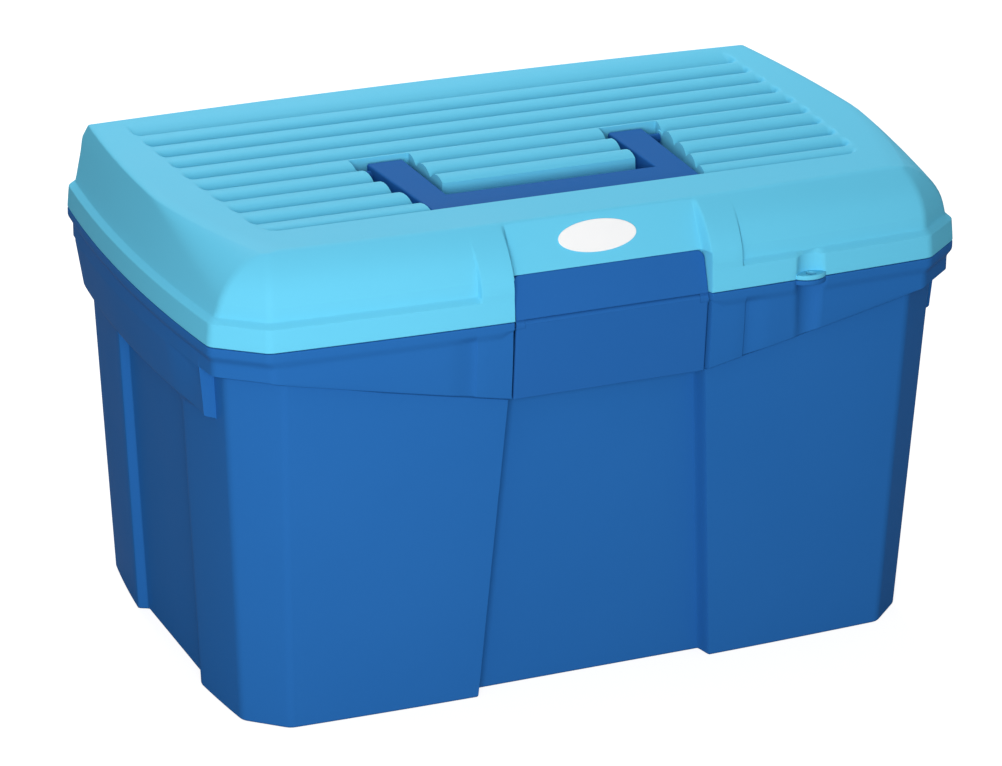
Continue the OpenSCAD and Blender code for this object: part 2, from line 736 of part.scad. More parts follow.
// The tray hangs from its rim on the ledge inside the tub and is split into four bins
module tray() {
    low = tray_low;
    outer = set_in(wall_at(low), 2 * wall + end_panel_depth + tray_gap);
    hull_box = [tray_end - end_bow / 2, tray_front - front_bow / 2, outer[2], outer[3],
        end_bow / 2, front_bow / 2];
    seat = set_in(rim, lid_wall + lip_gap + lip_t + tray_gap);
    inside = set_in(hull_box, tray_wall);
    split = inside[0] / 3;
    color("#265aa5") {
        difference() {
            union() {
                slab(hull_box, low, tray_z);
                difference() {
                    slab(seat, ledge_z, tray_z);
                    front_panel(wall + tray_gap);
                    translate([eye_x, hollow_y, tray_low])
                        cylinder(h = tray_h + over, r = eye_hollow_r + wall + tray_gap);
                }
            }
            slab(inside, low + tray_wall, tray_z + over);
        }
        block(-inside[0] - tray_wall / 2, inside[0] + tray_wall / 2, -tray_wall / 2,
            tray_wall / 2, low + tray_wall / 2, tray_z);
        for (s = [-1, 1])
            block(s * split - tray_wall / 2, s * split + tray_wall / 2, 0,
                inside[1] + tray_wall / 2, low + tray_wall / 2, tray_z);
    }
}

// A blank oval plate on the sunk panel above the latch
module label() {
    mid = (label_top + latch_top) / 2 + label_run * label_up;
    half_w = channel_w / 5;
    half_h = norm(label_top - latch_top) * 0.307;
    turn = atan2(label_in[1], label_in[0]);
    steps = 40;
    color("white")
    translate([-label_left, mid[0], mid[1]]) rotate([turn, 0, 0]) translate([0, -seat_gap, 0])
        rotate([90, 0, 0]) linear_extrude(seat_gap * 12)
        polygon([for (i = [0:steps - 1])
            [half_w * cos(360 * i / steps), half_h * sin(360 * i / steps)]]);
}

tub();
lid();
carry_handle();
handle_pivot_left();
handle_pivot_right();
latch_plate();
latch_flap();
latch_pin();
hinge_pin_left();
hinge_pin_right();
tray();
label();
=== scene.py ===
import math

import bmesh
import bpy
import numpy as np
from mathutils import Matrix, Vector


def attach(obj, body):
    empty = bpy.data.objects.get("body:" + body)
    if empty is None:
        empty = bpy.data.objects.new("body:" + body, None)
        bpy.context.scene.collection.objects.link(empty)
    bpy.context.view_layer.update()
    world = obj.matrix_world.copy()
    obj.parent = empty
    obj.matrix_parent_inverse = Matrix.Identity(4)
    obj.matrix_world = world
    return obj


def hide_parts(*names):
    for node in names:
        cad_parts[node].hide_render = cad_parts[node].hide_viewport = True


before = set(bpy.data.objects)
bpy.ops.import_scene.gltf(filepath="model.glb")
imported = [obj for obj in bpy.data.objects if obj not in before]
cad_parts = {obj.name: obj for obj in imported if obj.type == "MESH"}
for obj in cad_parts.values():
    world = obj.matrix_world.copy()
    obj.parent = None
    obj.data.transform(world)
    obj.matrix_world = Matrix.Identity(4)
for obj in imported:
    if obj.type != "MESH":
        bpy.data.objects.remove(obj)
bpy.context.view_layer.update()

# The stage is a plain pale floor in soft studio light. The camera stands where the
# photograph was taken from: well back, to the left of the box and a little above it.
MM = 0.001
scene = bpy.context.scene
scene.view_settings.view_transform = "Standard"
PHOTO_W = 1002
FOCAL_PX = 4116.7
CAMERA_PLACE = Vector((-769.9, -1767.1, 884.0)) * MM
CAMERA_TURN = math.radians(-23.486)
CAMERA_RISE = math.radians(21.805)
CAMERA_ROLL = math.radians(0.497)

camera_data = bpy.data.cameras.new("camera")
camera_data.sensor_width = 36
camera_data.lens = FOCAL_PX * camera_data.sensor_width / PHOTO_W
camera_data.clip_end = 20
camera = bpy.data.objects.new("camera", camera_data)
back_way = Vector((math.sin(CAMERA_TURN) * math.cos(CAMERA_RISE),
                   -math.cos(CAMERA_TURN) * math.cos(CAMERA_RISE),
                   math.sin(CAMERA_RISE)))
right_way = Vector((math.cos(CAMERA_TURN), math.sin(CAMERA_TURN), 0))
camera_axes = Matrix((right_way, back_way.cross(right_way), back_way)).transposed()
camera.matrix_world = (Matrix.Translation(CAMERA_PLACE) @ camera_axes.to_4x4()
                       @ Matrix.Rotation(CAMERA_ROLL, 4, "Z"))
scene.collection.objects.link(camera)
scene.camera = camera

BOX_MIDDLE = Vector((0, 0, 0.12))


def studio_lamp(name, place, size, watts):
    """A square soft lamp that faces the middle of the box."""
    data = bpy.data.lights.new(name, "AREA")
    data.size = size
    data.energy = watts
    lamp = bpy.data.objects.new(name, data)
    aim = BOX_MIDDLE - Vector(place)
    lamp.matrix_world = Matrix.Translation(place) @ aim.to_track_quat("-Z", "Y").to_matrix().to_4x4()
    scene.collection.objects.link(lamp)


studio_lamp("front_lamp", (-0.55, -1.12, 0.45), 0.5, 11.5)
studio_lamp("back_lamp", (0.1, 1.0, 1.15), 0.8, 14)

AMBIENT = 0.38
FLOOR_GREY = 0.3
FLOOR_GLOW = 0.85
FLOOR_HALF = 6
world = bpy.data.worlds.new("studio")
scene.world = world
world.use_nodes = True
air = world.node_tree
air.nodes.clear()
rays = air.nodes.new("ShaderNodeLightPath")
seen = air.nodes.new("ShaderNodeMath")
seen.operation = "ADD"
seen_too = air.nodes.new("ShaderNodeMath")
seen_too.operation = "ADD"
seen_too.use_clamp = True
strength = air.nodes.new("ShaderNodeMapRange")
strength.inputs["To Min"].default_value = AMBIENT
strength.inputs["To Max"].default_value = 1
sky = air.nodes.new("ShaderNodeBackground")
sky.inputs["Color"].default_value = (1, 1, 1, 1)
air_out = air.nodes.new("ShaderNodeOutputWorld")
air.links.new(rays.outputs["Is Camera Ray"], seen.inputs[0])
air.links.new(rays.outputs["Is Glossy Ray"], seen.inputs[1])
air.links.new(seen.outputs[0], seen_too.inputs[0])
air.links.new(rays.outputs["Is Transmission Ray"], seen_too.inputs[1])
air.links.new(seen_too.outputs[0], strength.inputs["Value"])
air.links.new(strength.outputs[0], sky.inputs["Strength"])
air.links.new(sky.outputs[0], air_out.inputs["Surface"])

floor_mesh = bpy.data.meshes.new("floor")
floor_bm = bmesh.new()
bmesh.ops.create_grid(floor_bm, x_segments=1, y_segments=1, size=FLOOR_HALF)
floor_bm.to_mesh(floor_mesh)
floor_bm.free()
floor_paint = bpy.data.materials.new("floor_paint")
floor_paint.use_nodes = True
floor_nodes = floor_paint.node_tree
floor_nodes.nodes.clear()
floor_rays = floor_nodes.nodes.new("ShaderNodeLightPath")
floor_matt = floor_nodes.nodes.new("ShaderNodeBsdfDiffuse")
floor_matt.inputs["Color"].default_value = (FLOOR_GREY, FLOOR_GREY, FLOOR_GREY, 1)
floor_glow = floor_nodes.nodes.new("ShaderNodeEmission")
floor_glow.inputs["Color"].default_value = (1, 1, 1, 1)
floor_lift = floor_nodes.nodes.new("ShaderNodeMath")
floor_lift.operation = "MULTIPLY"
floor_lift.inputs[1].default_value = FLOOR_GLOW
floor_sum = floor_nodes.nodes.new("ShaderNodeAddShader")
floor_out = floor_nodes.nodes.new("ShaderNodeOutputMaterial")
floor_nodes.links.new(floor_rays.outputs["Is Camera Ray"], floor_lift.inputs[0])
floor_nodes.links.new(floor_lift.outputs[0], floor_glow.inputs["Strength"])
floor_nodes.links.new(floor_matt.outputs[0], floor_sum.inputs[0])
floor_nodes.links.new(floor_glow.outputs[0], floor_sum.inputs[1])
floor_nodes.links.new(floor_sum.outputs[0], floor_out.inputs["Surface"])
floor_mesh.materials.append(floor_paint)
floor = bpy.data.objects.new("floor", floor_mesh)
scene.collection.objects.link(floor)

# The tub is one injection moulding in dark blue polypropylene: leaning bowed walls with cut
# corners, sunk panels in the front and the ends, raised bands below the rim, a flange that
# carries the lid, a locating lip, and a ledge inside for the tray.
RIM = np.array([194.2, 124.7, 23.0, 19.0, 5.8, 4.8])
WALL_TOP = RIM - [8.2, 4.2, 0, 0, 0, 0]
LEAN_W, LEAN_D = 9.2, 9.4
BASE = WALL_TOP - [LEAN_W, LEAN_D, 4.4, 2.0, -1.1, 1.4]
BAND = RIM - [2.2, 1.2, 0, 0, 0, 0]
TUB_H = 198.5
WALL = 2.6
FLOOR_T = 3.0
FLANGE_Z = TUB_H - 4
FLANGE_SOFT, FLANGE_CRISP = 5.0, 1.4
BAND_Z = TUB_H - 16
BAND_STEP = 2.4
LEDGE_Z = BAND_Z + WALL
VALANCE_Z = TUB_H - 40.3
VALANCE_LEAN = 1.6
END_BAND_KNEE = TUB_H - 39.5
END_BAND_SLOPE = 9.0
END_BAND_START = 3.0
END_BAND_RUN = 50.0
END_BAND_LEAN = 3.6
END_BAND_FRONT, END_BAND_BACK = -90.0, 98.0
END_TAB_X = 191.3
END_TAB_RUN = 40.0
COLUMN_GAP = 0.15
CHANNEL = 50.3
PANEL_FOOT = 61.0
PANEL_DEPTH = 9.5
END_PANEL_FRONT, END_PANEL_BACK = (-51.0, -39.5), (42.0, 45.5)
END_PANEL_X = BASE[0] + BASE[4] - 6.6
END_PANEL_TOP = END_BAND_KNEE - 7
END_PANEL_FADE = 6.0
SHELF_Y = -122.6
SHELF_IN = 4.2
LIP_H = 6.0
CORNER_R = 2.6
EDGE_R = 1.2
PILASTER, PILASTER_END = 69.0, 84.0
PILASTER_STEP = 1.4
PILASTER_SINK = 1.4
EYE_X = 104.0
EYE_HALF, EYE_GAP = 9.8, 12.2
EYE_LIP_EDGE = 0.6
EYE_Y, EYE_R = -127.48, 2.5
EYE_LIP_Y, EYE_LIP_R, EYE_LIP_T = -120.33, 11.0, 2.4
HOLLOW_Y, HOLLOW_R = -133.03, 9.4
HINGE_X = 110.0
HINGE_Y = 130.52
HINGE_Z = 198.65
KNUCKLE_R = 4.5
KNUCKLE_ROOM = 5.25
KNUCKLE_ROOM_HALF = 10.2


def ease(t):
    """A smooth step from 0 to 1."""
    t = np.clip(t, 0, 1)
    return t * t * (3 - 2 * t)


def set_in(outline, d):
    """An outline moved inwards by a wall, with its cut corners kept parallel. An outline is its
    half width, half depth, corner along the front and the end, bulge of the ends and the front."""
    share = 2 - math.sqrt(2)
    return outline - np.asarray(d, float)[..., None] * np.array([1, 1, share, share, 0, 0])


def stations(front, corner, chamfer, end, back):
    """Columns of half a ring, from the middle of the front round to the middle of the back.
    Each is a side's number, an interval of that side and a place in the interval."""
    sides = [front, [corner], [chamfer], [corner], end, [corner], [chamfer], [corner], back]
    rows = [(side, k, i / n) for side, counts in enumerate(sides)
            for k, n in enumerate(counts) for i in range(n)]
    return np.array(rows + [(8, len(back) - 1, 1.0)])


def half_ring(st, corners, bow, end_x, anchors, radius):
    """Points of half a ring. Its corners are the front's, the end's two and the back's, bow is
    the bulge of front and back, end_x gives the end's x for a y, and anchors are the places
    of the columns along the front, the end and the back."""
    side, k, t = st[:, 0].astype(int), st[:, 1].astype(int), st[:, 2]
    a, b, c, d = (np.broadcast_to(np.asarray(p, float), (len(st), 2)) for p in corners)
    xs, ys, backs = anchors

    def toward(p, q, r):
        step = q - p
        return p + step * (r / np.maximum(np.hypot(step[:, 0], step[:, 1]), 1e-9))[:, None]

    def rounded(p, q, r):
        s = t[:, None]
        return (1 - s) ** 2 * p + 2 * s * (1 - s) * q + s ** 2 * r

    def front_at(x):
        return np.stack([x, a[:, 1] - bow * (1 - (x / a[:, 0]) ** 2)], 1)

    def back_at(x):
        return np.stack([x, d[:, 1] + bow * (1 - (x / d[:, 0]) ** 2)], 1)

    def end_at(y):
        return np.stack([end_x(y), y], 1)

    def place(values):
        grid = np.stack([np.broadcast_to(np.asarray(v, float), (len(st),)) for v in values])
        low = np.take_along_axis(grid, np.clip(k, 0, len(values) - 2)[None], 0)[0]
        high = np.take_along_axis(grid, np.clip(k + 1, 1, len(values) - 1)[None], 0)[0]
        return low + (high - low) * t

    r_front = np.minimum(radius, 0.3 * np.hypot(*(b - a).T))
    r_back = np.minimum(radius, 0.3 * np.hypot(*(d - c).T))
    a_on, b_on = toward(a, b, r_front), toward(b, a, r_front)
    c_on, d_on = toward(c, d, r_back), toward(d, c, r_back)
    sides = [front_at(place([*xs, a[:, 0] - r_front])),
             rounded(front_at(a[:, 0] - r_front), a, a_on),
             a_on + (b_on - a_on) * t[:, None],
             rounded(b_on, b, end_at(b[:, 1] + r_front)),
             end_at(place([b[:, 1] + r_front, *ys, c[:, 1] - r_back])),
             rounded(end_at(c[:, 1] - r_back), c, c_on),
             c_on + (d_on - c_on) * t[:, None],
             rounded(d_on, d, back_at(d[:, 0] - r_back)),
             back_at(place([d[:, 0] - r_back, *backs, 0]))]
    return np.stack(sides)[side, np.arange(len(st))]


def outline_ring(st, outline, anchors):
    """Half of a bowed, cut-cornered outline."""
    hw, hd, cx, cy, end_bow, bow = np.broadcast_to(outline, (len(st), 6)).T
    corner_x, corner_y = hw - cx, hd - cy
    corners = [np.stack(p, 1) for p in ((corner_x, -hd), (hw, -corner_y), (hw, corner_y),
                                        (corner_x, hd))]
    return half_ring(st, corners, bow,
                     lambda y: hw + end_bow * (1 - (y / corner_y) ** 2), anchors, CORNER_R)


def lay_grid(bm, points):
    """A grid of faces through an array of points in millimetres."""
    rows, cols = points.shape[:2]
    made = bmesh.ops.create_grid(bm, x_segments=cols - 1, y_segments=rows - 1, size=1)["verts"]
    for v in made:
        col = round((v.co.x + 1) / 2 * (cols - 1))
        row = round((v.co.y + 1) / 2 * (rows - 1))
        v.co = Vector(points[row, col]) * MM


def lay_halves(bm, right, left):
    """Both halves of a moulding, each given on the right of the middle."""
    lay_grid(bm, right)
    lay_grid(bm, left * [-1, 1, 1])
    bmesh.ops.remove_doubles(bm, verts=bm.verts[:], dist=1e-5)


def add_piece(bm, name, material, body, stands_for=(), sharp=50):
    """Turns a bmesh into a smooth-shaded piece that moves with a body. Large faces keep their
    flat look beside small roundings."""
    bmesh.ops.recalc_face_normals(bm, faces=bm.faces[:])
    for face in bm.faces:
        face.smooth = True
    for edge in bm.edges:
        if len(edge.link_faces) == 2 and edge.calc_face_angle() > math.radians(sharp):
            edge.smooth = False
    mesh = bpy.data.meshes.new(name)
    bm.to_mesh(mesh)
    bm.free()
    mesh.materials.append(material)
    piece = bpy.data.objects.new(name, mesh)
    scene.collection.objects.link(piece)
    weighted = piece.modifiers.new("even_shading", "WEIGHTED_NORMAL")
    weighted.keep_sharp = True
    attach(piece, body)
    if stands_for:
        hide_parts(*stands_for)
    return piece


def moulded_plastic(name, colour, cloud, rough, gloss=0.02):
    """Injection-moulded plastic: a fine grain from the mould, faint clouds in the colour and
    patches that handling has polished."""
    paint = bpy.data.materials.new(name)
    paint.use_nodes = True
    tree = paint.node_tree
    shader = tree.nodes["Principled BSDF"]
    place = tree.nodes.new("ShaderNodeTexCoord")
    clouds = tree.nodes.new("ShaderNodeTexNoise")
    clouds.inputs["Scale"].default_value = 14
    clouds.inputs["Detail"].default_value = 3
    tint = tree.nodes.new("ShaderNodeMix")
    tint.data_type = "RGBA"
    tint.inputs["A"].default_value = (*colour, 1)
    tint.inputs["B"].default_value = (*cloud, 1)
    polish = tree.nodes.new("ShaderNodeMapRange")
    polish.inputs["From Min"].default_value = 0.3
    polish.inputs["From Max"].default_value = 0.7
    polish.inputs["To Min"].default_value = rough - 0.05
    polish.inputs["To Max"].default_value = rough + 0.05
    grain = tree.nodes.new("ShaderNodeTexNoise")
    grain.inputs["Scale"].default_value = 1400
    grain.inputs["Detail"].default_value = 2
    waves = tree.nodes.new("ShaderNodeTexNoise")
    waves.inputs["Scale"].default_value = 22
    fine = tree.nodes.new("ShaderNodeBump")
    fine.inputs["Strength"].default_value = 0.12
    fine.inputs["Distance"].default_value = 0.0002
    broad = tree.nodes.new("ShaderNodeBump")
    broad.inputs["Strength"].default_value = 0.1
    broad.inputs["Distance"].default_value = 0.002
    for node in (clouds, grain, waves):
        tree.links.new(place.outputs["Object"], node.inputs["Vector"])
    tree.links.new(clouds.outputs["Fac"], tint.inputs["Factor"])
    tree.links.new(tint.outputs["Result"], shader.inputs["Base Color"])
    tree.links.new(clouds.outputs["Fac"], polish.inputs["Value"])
    tree.links.new(polish.outputs[0], shader.inputs["Roughness"])
    tree.links.new(waves.outputs["Fac"], broad.inputs["Height"])
    tree.links.new(grain.outputs["Fac"], fine.inputs["Height"])
    tree.links.new(broad.outputs[0], fine.inputs["Normal"])
    tree.links.new(fine.outputs[0], shader.inputs["Normal"])
    shader.inputs["Specular IOR Level"].default_value = gloss
    return paint


def wall_outline(z):
    """The plain wall's outline, which widens on the way up."""
    return BASE + (WALL_TOP - BASE) * np.asarray(z, float)[..., None] / TUB_H


HINGE_COLUMNS = [HINGE_X + off for off in (21.2, 20.6, 10.35, 10, -10, -10.35, -20.6, -21.2)]
BACK_COUNTS = [4, 1, 2, 1, 3, 1, 2, 1, 8]
TUB_ST = stations(front=[8, 5, 3, 2, 6, 3, 12, 8], corner=4, chamfer=3,
                  end=[3, 1, 10, 6, 10, 4, 8, 1, 3], back=BACK_COUNTS)
on_front = TUB_ST[:, 0] == 0
on_end = TUB_ST[:, 0] == 4
on_back = TUB_ST[:, 0] == 8


def tub_layer(layer, z, inset=0.0):
    """Half a ring of the tub at the heights z: layer 0 is the wall with its sunk panels, 1 the
    raised bands and 2 the flange. An inset gives the inside of the wall."""
    z = np.broadcast_to(np.asarray(z, float), (len(TUB_ST),))
    p = np.interp(z, [0, VALANCE_Z], [PANEL_FOOT, CHANNEL]) if layer == 0 else CHANNEL
    p = np.broadcast_to(p, z.shape) + min(inset, WALL)
    outline = np.broadcast_to(RIM if layer == 2 else BAND, (len(z), 6)).copy()
    if layer == 0:
        outline = wall_outline(z)
    if layer == 1:
        outline[:, 1] -= VALANCE_LEAN * np.clip((BAND_Z - z) / (BAND_Z - VALANCE_Z), 0, 1)
        fallen = np.clip((BAND_Z - z) / (BAND_Z - END_BAND_KNEE), 0, 1.3)
        outline[:, 0] -= END_BAND_LEAN * on_end * fallen
    outline = set_in(outline, np.full(len(z), inset))
    e = EDGE_R
    near = np.array(END_PANEL_FRONT) - min(inset, WALL)
    far = np.array(END_PANEL_BACK) + min(inset, WALL)
    pilaster_in = PILASTER + PILASTER_STEP
    xs = [0, p - e, p + e, PILASTER, pilaster_in, PILASTER_END, EYE_X - EYE_HALF, EYE_X + EYE_HALF]
    ys = [END_BAND_FRONT - COLUMN_GAP, END_BAND_FRONT + COLUMN_GAP, *near, *far,
          END_BAND_BACK - COLUMN_GAP, END_BAND_BACK + COLUMN_GAP]
    x, y = outline_ring(TUB_ST, outline, (xs, ys, HINGE_COLUMNS)).T.copy()
    wall_front = (BASE[1] + BASE[5]) * (1 - z / TUB_H) + (WALL_TOP[1] + WALL_TOP[5]) * z / TUB_H
    sunk_y = PANEL_DEPTH + min(inset, WALL) - wall_front
    if layer == 2 and inset < SHELF_IN:
        sunk_y = SHELF_Y
    y = np.where(on_front, sunk_y + (y - sunk_y) * ease((x - p + e) / (2 * e)), y)
    if layer == 1 and not inset:
        fall = np.where(x < pilaster_in, ease((x - PILASTER) / PILASTER_STEP),
                        1 - ease((x - pilaster_in) / (PILASTER_END - pilaster_in)))
        y = np.where(on_front & (x > PILASTER), y + PILASTER_SINK * fall, y)
    if layer == 0:
        sunk_x = END_PANEL_X - inset + LEAN_W * z / TUB_H
        out = np.where(y < 0, ease((near[1] - y) / (near[1] - near[0])),
                       ease((y - far[0]) / (far[1] - far[0])))
        out = np.maximum(out, ease((z - END_PANEL_TOP) / END_PANEL_FADE))
        x = np.where(on_end, sunk_x + (x - sunk_x) * out, x)
    if layer == 1 and not inset:
        free = np.maximum(ease((y - END_BAND_FRONT) / END_TAB_RUN), ease((z - BAND_Z + 1) / 1.6))
        tab = on_end & (y > END_BAND_FRONT) & (y < 0)
        x = np.where(tab, END_TAB_X + (x - END_TAB_X) * free, x)
    if layer == 2:
        room = HINGE_Y - np.sqrt(np.maximum(KNUCKLE_ROOM ** 2 - (z - HINGE_Z) ** 2, 0))
        y = np.where(on_back & (np.abs(x - HINGE_X) < KNUCKLE_ROOM_HALF), np.minimum(y, room), y)
    return np.stack([x, y, z], 1)


def tub_step(low, z, w):
    """A row of the outer skin on its way from one layer to the next."""
    a, b = tub_layer(low, z), tub_layer(low + 1, z)
    return a + (b - a) * w


def eye_hollow(points, radius, low, high):
    """Presses the padlock eye's round hollow into the rows between two heights."""
    off = points[..., 0] - EYE_X
    hollow = HOLLOW_Y + np.sqrt(np.maximum(radius ** 2 - off ** 2, 0))
    level = (points[..., 2] > low) & (points[..., 2] < high)
    inside = (np.abs(off) < radius) & (points[..., 1] < 0) & level
    points[..., 1] = np.where(inside, np.maximum(points[..., 1], hollow), points[..., 1])
    return points


STEPS = [-0.5, -0.3, -0.12, 0.12, 0.3, 0.5]
mid_x, mid_y, _ = tub_layer(1, BAND_Z).T
band_edge = np.interp(mid_x, [CHANNEL, RIM[0] - RIM[2]], [VALANCE_Z, BAND_Z])
banded_end = on_end & (mid_y > END_BAND_FRONT) & (mid_y < END_BAND_BACK)
end_rise = ease((mid_y - END_BAND_FRONT) / END_BAND_RUN)
end_slope = END_BAND_START + (END_BAND_SLOPE - END_BAND_START) * end_rise
band_step = np.where(banded_end, end_slope, BAND_STEP)
band_low = np.where(mid_y < 0, band_edge, BAND_Z)
band_low = np.where(banded_end, END_BAND_KNEE - end_slope / 2, band_low)
wall_head = band_low - 0.5 * band_step
band_head = band_low + 0.5 * band_step
outer_rows = [tub_layer(0, 0, 1.3), tub_layer(0, 0.25, 0.55), tub_layer(0, 0.7, 0.15)]
outer_rows += [tub_layer(0, 1.5 + (wall_head - 1.5) * s) for s in np.linspace(0, 1, 16)[:-1]]
outer_rows += [tub_step(0, band_low + s * band_step, ease(s + 0.5)) for s in STEPS]
soft_step = ~on_back & ~(on_front & (mid_x < CHANNEL + 3))
flange_mid = np.where(soft_step, FLANGE_Z - 2, FLANGE_Z)
flange_step = np.where(soft_step, FLANGE_SOFT, FLANGE_CRISP)
flange_low = flange_mid - 0.5 * flange_step
BAND_ROWS = ((0.2, 168), (0.4, 176), (0.55, BAND_Z - 1), (0.7, BAND_Z), (0.85, BAND_Z + 0.8))
outer_rows += [tub_layer(1, np.where(banded_end, end_z, band_head + (flange_low - band_head) * s))
               for s, end_z in BAND_ROWS]
outer_rows += [tub_step(1, flange_mid + s * flange_step, ease(s + 0.5)) for s in STEPS]
outer_rows += [tub_layer(2, TUB_H - 1.2), tub_layer(2, TUB_H - 0.5), tub_layer(2, TUB_H - 0.15, 0.12),
               tub_layer(2, TUB_H, 0.5), tub_layer(2, TUB_H, 2.7)]
lip_up = ~(on_front & (mid_x < CHANNEL + 3))
lip_rows = [tub_layer(2, TUB_H + up * lip_up, inset) for up, inset in (
    (0.4, 2.8), (LIP_H - 0.5, 2.9), (LIP_H - 0.1, 3.1), (LIP_H, 3.5), (LIP_H - 0.1, 4.0),
    (LIP_H - 0.5, 4.3), (0.4, 4.4))]
inner_rows = [tub_layer(1, TUB_H - 3, WALL + 1), tub_layer(1, LEDGE_Z + 1, WALL),
              tub_layer(1, LEDGE_Z, WALL + 0.8), tub_layer(0, LEDGE_Z, WALL - 0.4)]
inner_rows += [tub_layer(0, LEDGE_Z - 0.8 + (FLOOR_T + 3.8 - LEDGE_Z) * s, WALL)
               for s in np.linspace(0, 1, 12)]
inner_rows += [tub_layer(0, FLOOR_T + 1, WALL + 0.8), tub_layer(0, FLOOR_T, WALL + 3)]
plain = np.stack(outer_rows + lip_rows + inner_rows)
eyed_outer = eye_hollow(np.stack(outer_rows), HOLLOW_R, VALANCE_Z - 5, TUB_H + 1)
eyed_lip = np.stack(lip_rows)
at_eye = np.abs(eyed_lip[..., 0] - EYE_X) < EYE_GAP
eyed_lip[..., 2] = np.where(at_eye & (eyed_lip[..., 1] < 0), TUB_H, eyed_lip[..., 2])
eyed_lip = eye_hollow(eyed_lip, HOLLOW_R, VALANCE_Z, TUB_H + 1)
eyed_inner = eye_hollow(np.stack(inner_rows), HOLLOW_R + WALL, LEDGE_Z - WALL, TUB_H)
tub_bm = bmesh.new()
lay_halves(tub_bm, np.concatenate([eyed_outer, eyed_lip, eyed_inner]), plain)
bmesh.ops.holes_fill(tub_bm, edges=[e for e in tub_bm.edges if e.is_boundary], sides=0)
tub_paint = moulded_plastic("tub_blue", (0.018, 0.128, 0.40), (0.021, 0.138, 0.42), 0.48)
add_piece(tub_bm, "tub_shell", tub_paint, "tub", ["tub"])

# Small forms of the tub, moulded with it: two wedges that the latch's bead snaps behind, the
# lip with the padlock's hole, and the hinge knuckles with the webs that carry them.
FLAP_FOOT = (-124.9, 158.2)
CATCH_X = CHANNEL / 2
CATCH_W = 12.6
CATCH_SIDE = ((-120.1, 162.6), (-111.0, 162.6), (-111.0, 174.3), (-120.1, 165.2))
KNUCKLE_BORE = 2.05
KNUCKLE_NEAR, KNUCKLE_FAR = 10.4, 20.4
WEB_FRONT, WEB_BACK = 122.5, HINGE_Y - 2.2
WEB_IN = 0.2


def round_edges(bm, edges, radius, segments=3):
    """Rounds edges as a mould's own small radius does."""
    bmesh.ops.bevel(bm, geom=list(edges), offset=radius * MM, offset_type="OFFSET",
                    segments=segments, profile=0.5, affect="EDGES", clamp_overlap=True, material=-1)


def drawn_out(bm, corners, way, radius):
    """A flat shape of corner points drawn out into a solid, with its edges rounded."""
    first = [bm.verts.new(Vector(p) * MM) for p in corners]
    face = bm.faces.new(first)
    made = bmesh.ops.extrude_face_region(bm, geom=[face])["geom"]
    second = [v for v in made if isinstance(v, bmesh.types.BMVert)]
    bmesh.ops.translate(bm, verts=second, vec=Vector(way) * MM)
    ends = set(first + second)
    if radius:
        round_edges(bm, [e for e in bm.edges if all(v in ends for v in e.verts)], radius)


def turned(bm, profile, centre, axis, out):
    """A ring turned round an axis from a closed profile of radius and place along the axis."""
    centre, axis, out = Vector(centre), Vector(axis), Vector(out)
    verts = [bm.verts.new((centre + axis * along + out * r) * MM) for r, along in profile]
    edges = [bm.edges.new((a, b)) for a, b in zip(verts, verts[1:] + verts[:1])]
    bmesh.ops.spin(bm, geom=verts + edges, cent=centre * MM, axis=axis, dvec=(0, 0, 0),
                   angle=2 * math.pi, steps=48, use_merge=True)


def ring_profile(inner, outer, low, high, edge):
    """A ring's profile with small roundings at its outer edges."""
    cut = edge * 0.3
    return [(inner, low), (outer - edge, low), (outer - cut, low + cut), (outer, low + edge),
            (outer, high - edge), (outer - cut, high - cut), (outer - edge, high), (inner, high)]


def knuckle(bm, x0, x1, web_z):
    """A hinge knuckle with its web, which runs from the barrel to the moulding."""
    barrel = ring_profile(KNUCKLE_BORE, KNUCKLE_R, x0, x1, 0.5)
    turned(bm, barrel, (0, HINGE_Y, HINGE_Z), (1, 0, 0), (0, 0, 1))
    low, high = web_z
    web = [(x0 + WEB_IN, y, z) for y, z in ((WEB_FRONT, low), (WEB_BACK, low), (WEB_BACK, high),
                                            (WEB_FRONT, high))]
    drawn_out(bm, web, (x1 - x0 - 2 * WEB_IN, 0, 0), 0.5)


def eye_lip(bm, low, high, edge):
    """The padlock's lip: a flat crescent round the hole, as deep as the hollow behind it."""
    turns = np.linspace(0, 2 * math.pi, 73)
    way = np.stack([np.cos(turns), np.sin(turns)], 1)

    def reach(centre_y, radius):
        along = way[:, 1] * (centre_y - EYE_Y)
        return along + np.sqrt(along ** 2 + radius ** 2 - (centre_y - EYE_Y) ** 2)

    outer = np.minimum(reach(EYE_LIP_Y, EYE_LIP_R), reach(HOLLOW_Y, HOLLOW_R + 0.4))
    cut = 0.3 * edge
    rows = [(EYE_R, 0, low), (None, edge, low), (None, cut, low + cut), (None, 0, low + edge),
            (None, 0, high - edge), (None, cut, high - cut), (None, edge, high), (EYE_R, 0, high),
            (EYE_R, 0, low)]
    grid = []
    for hole, less, z in rows:
        r = np.full(len(turns), hole) if hole else outer - less
        grid.append(np.stack([EYE_X + way[:, 0] * r, EYE_Y + way[:, 1] * r, np.full(len(turns), z)], 1))
    lay_grid(bm, np.stack(grid))
    bmesh.ops.remove_doubles(bm, verts=bm.verts[:], dist=1e-6)


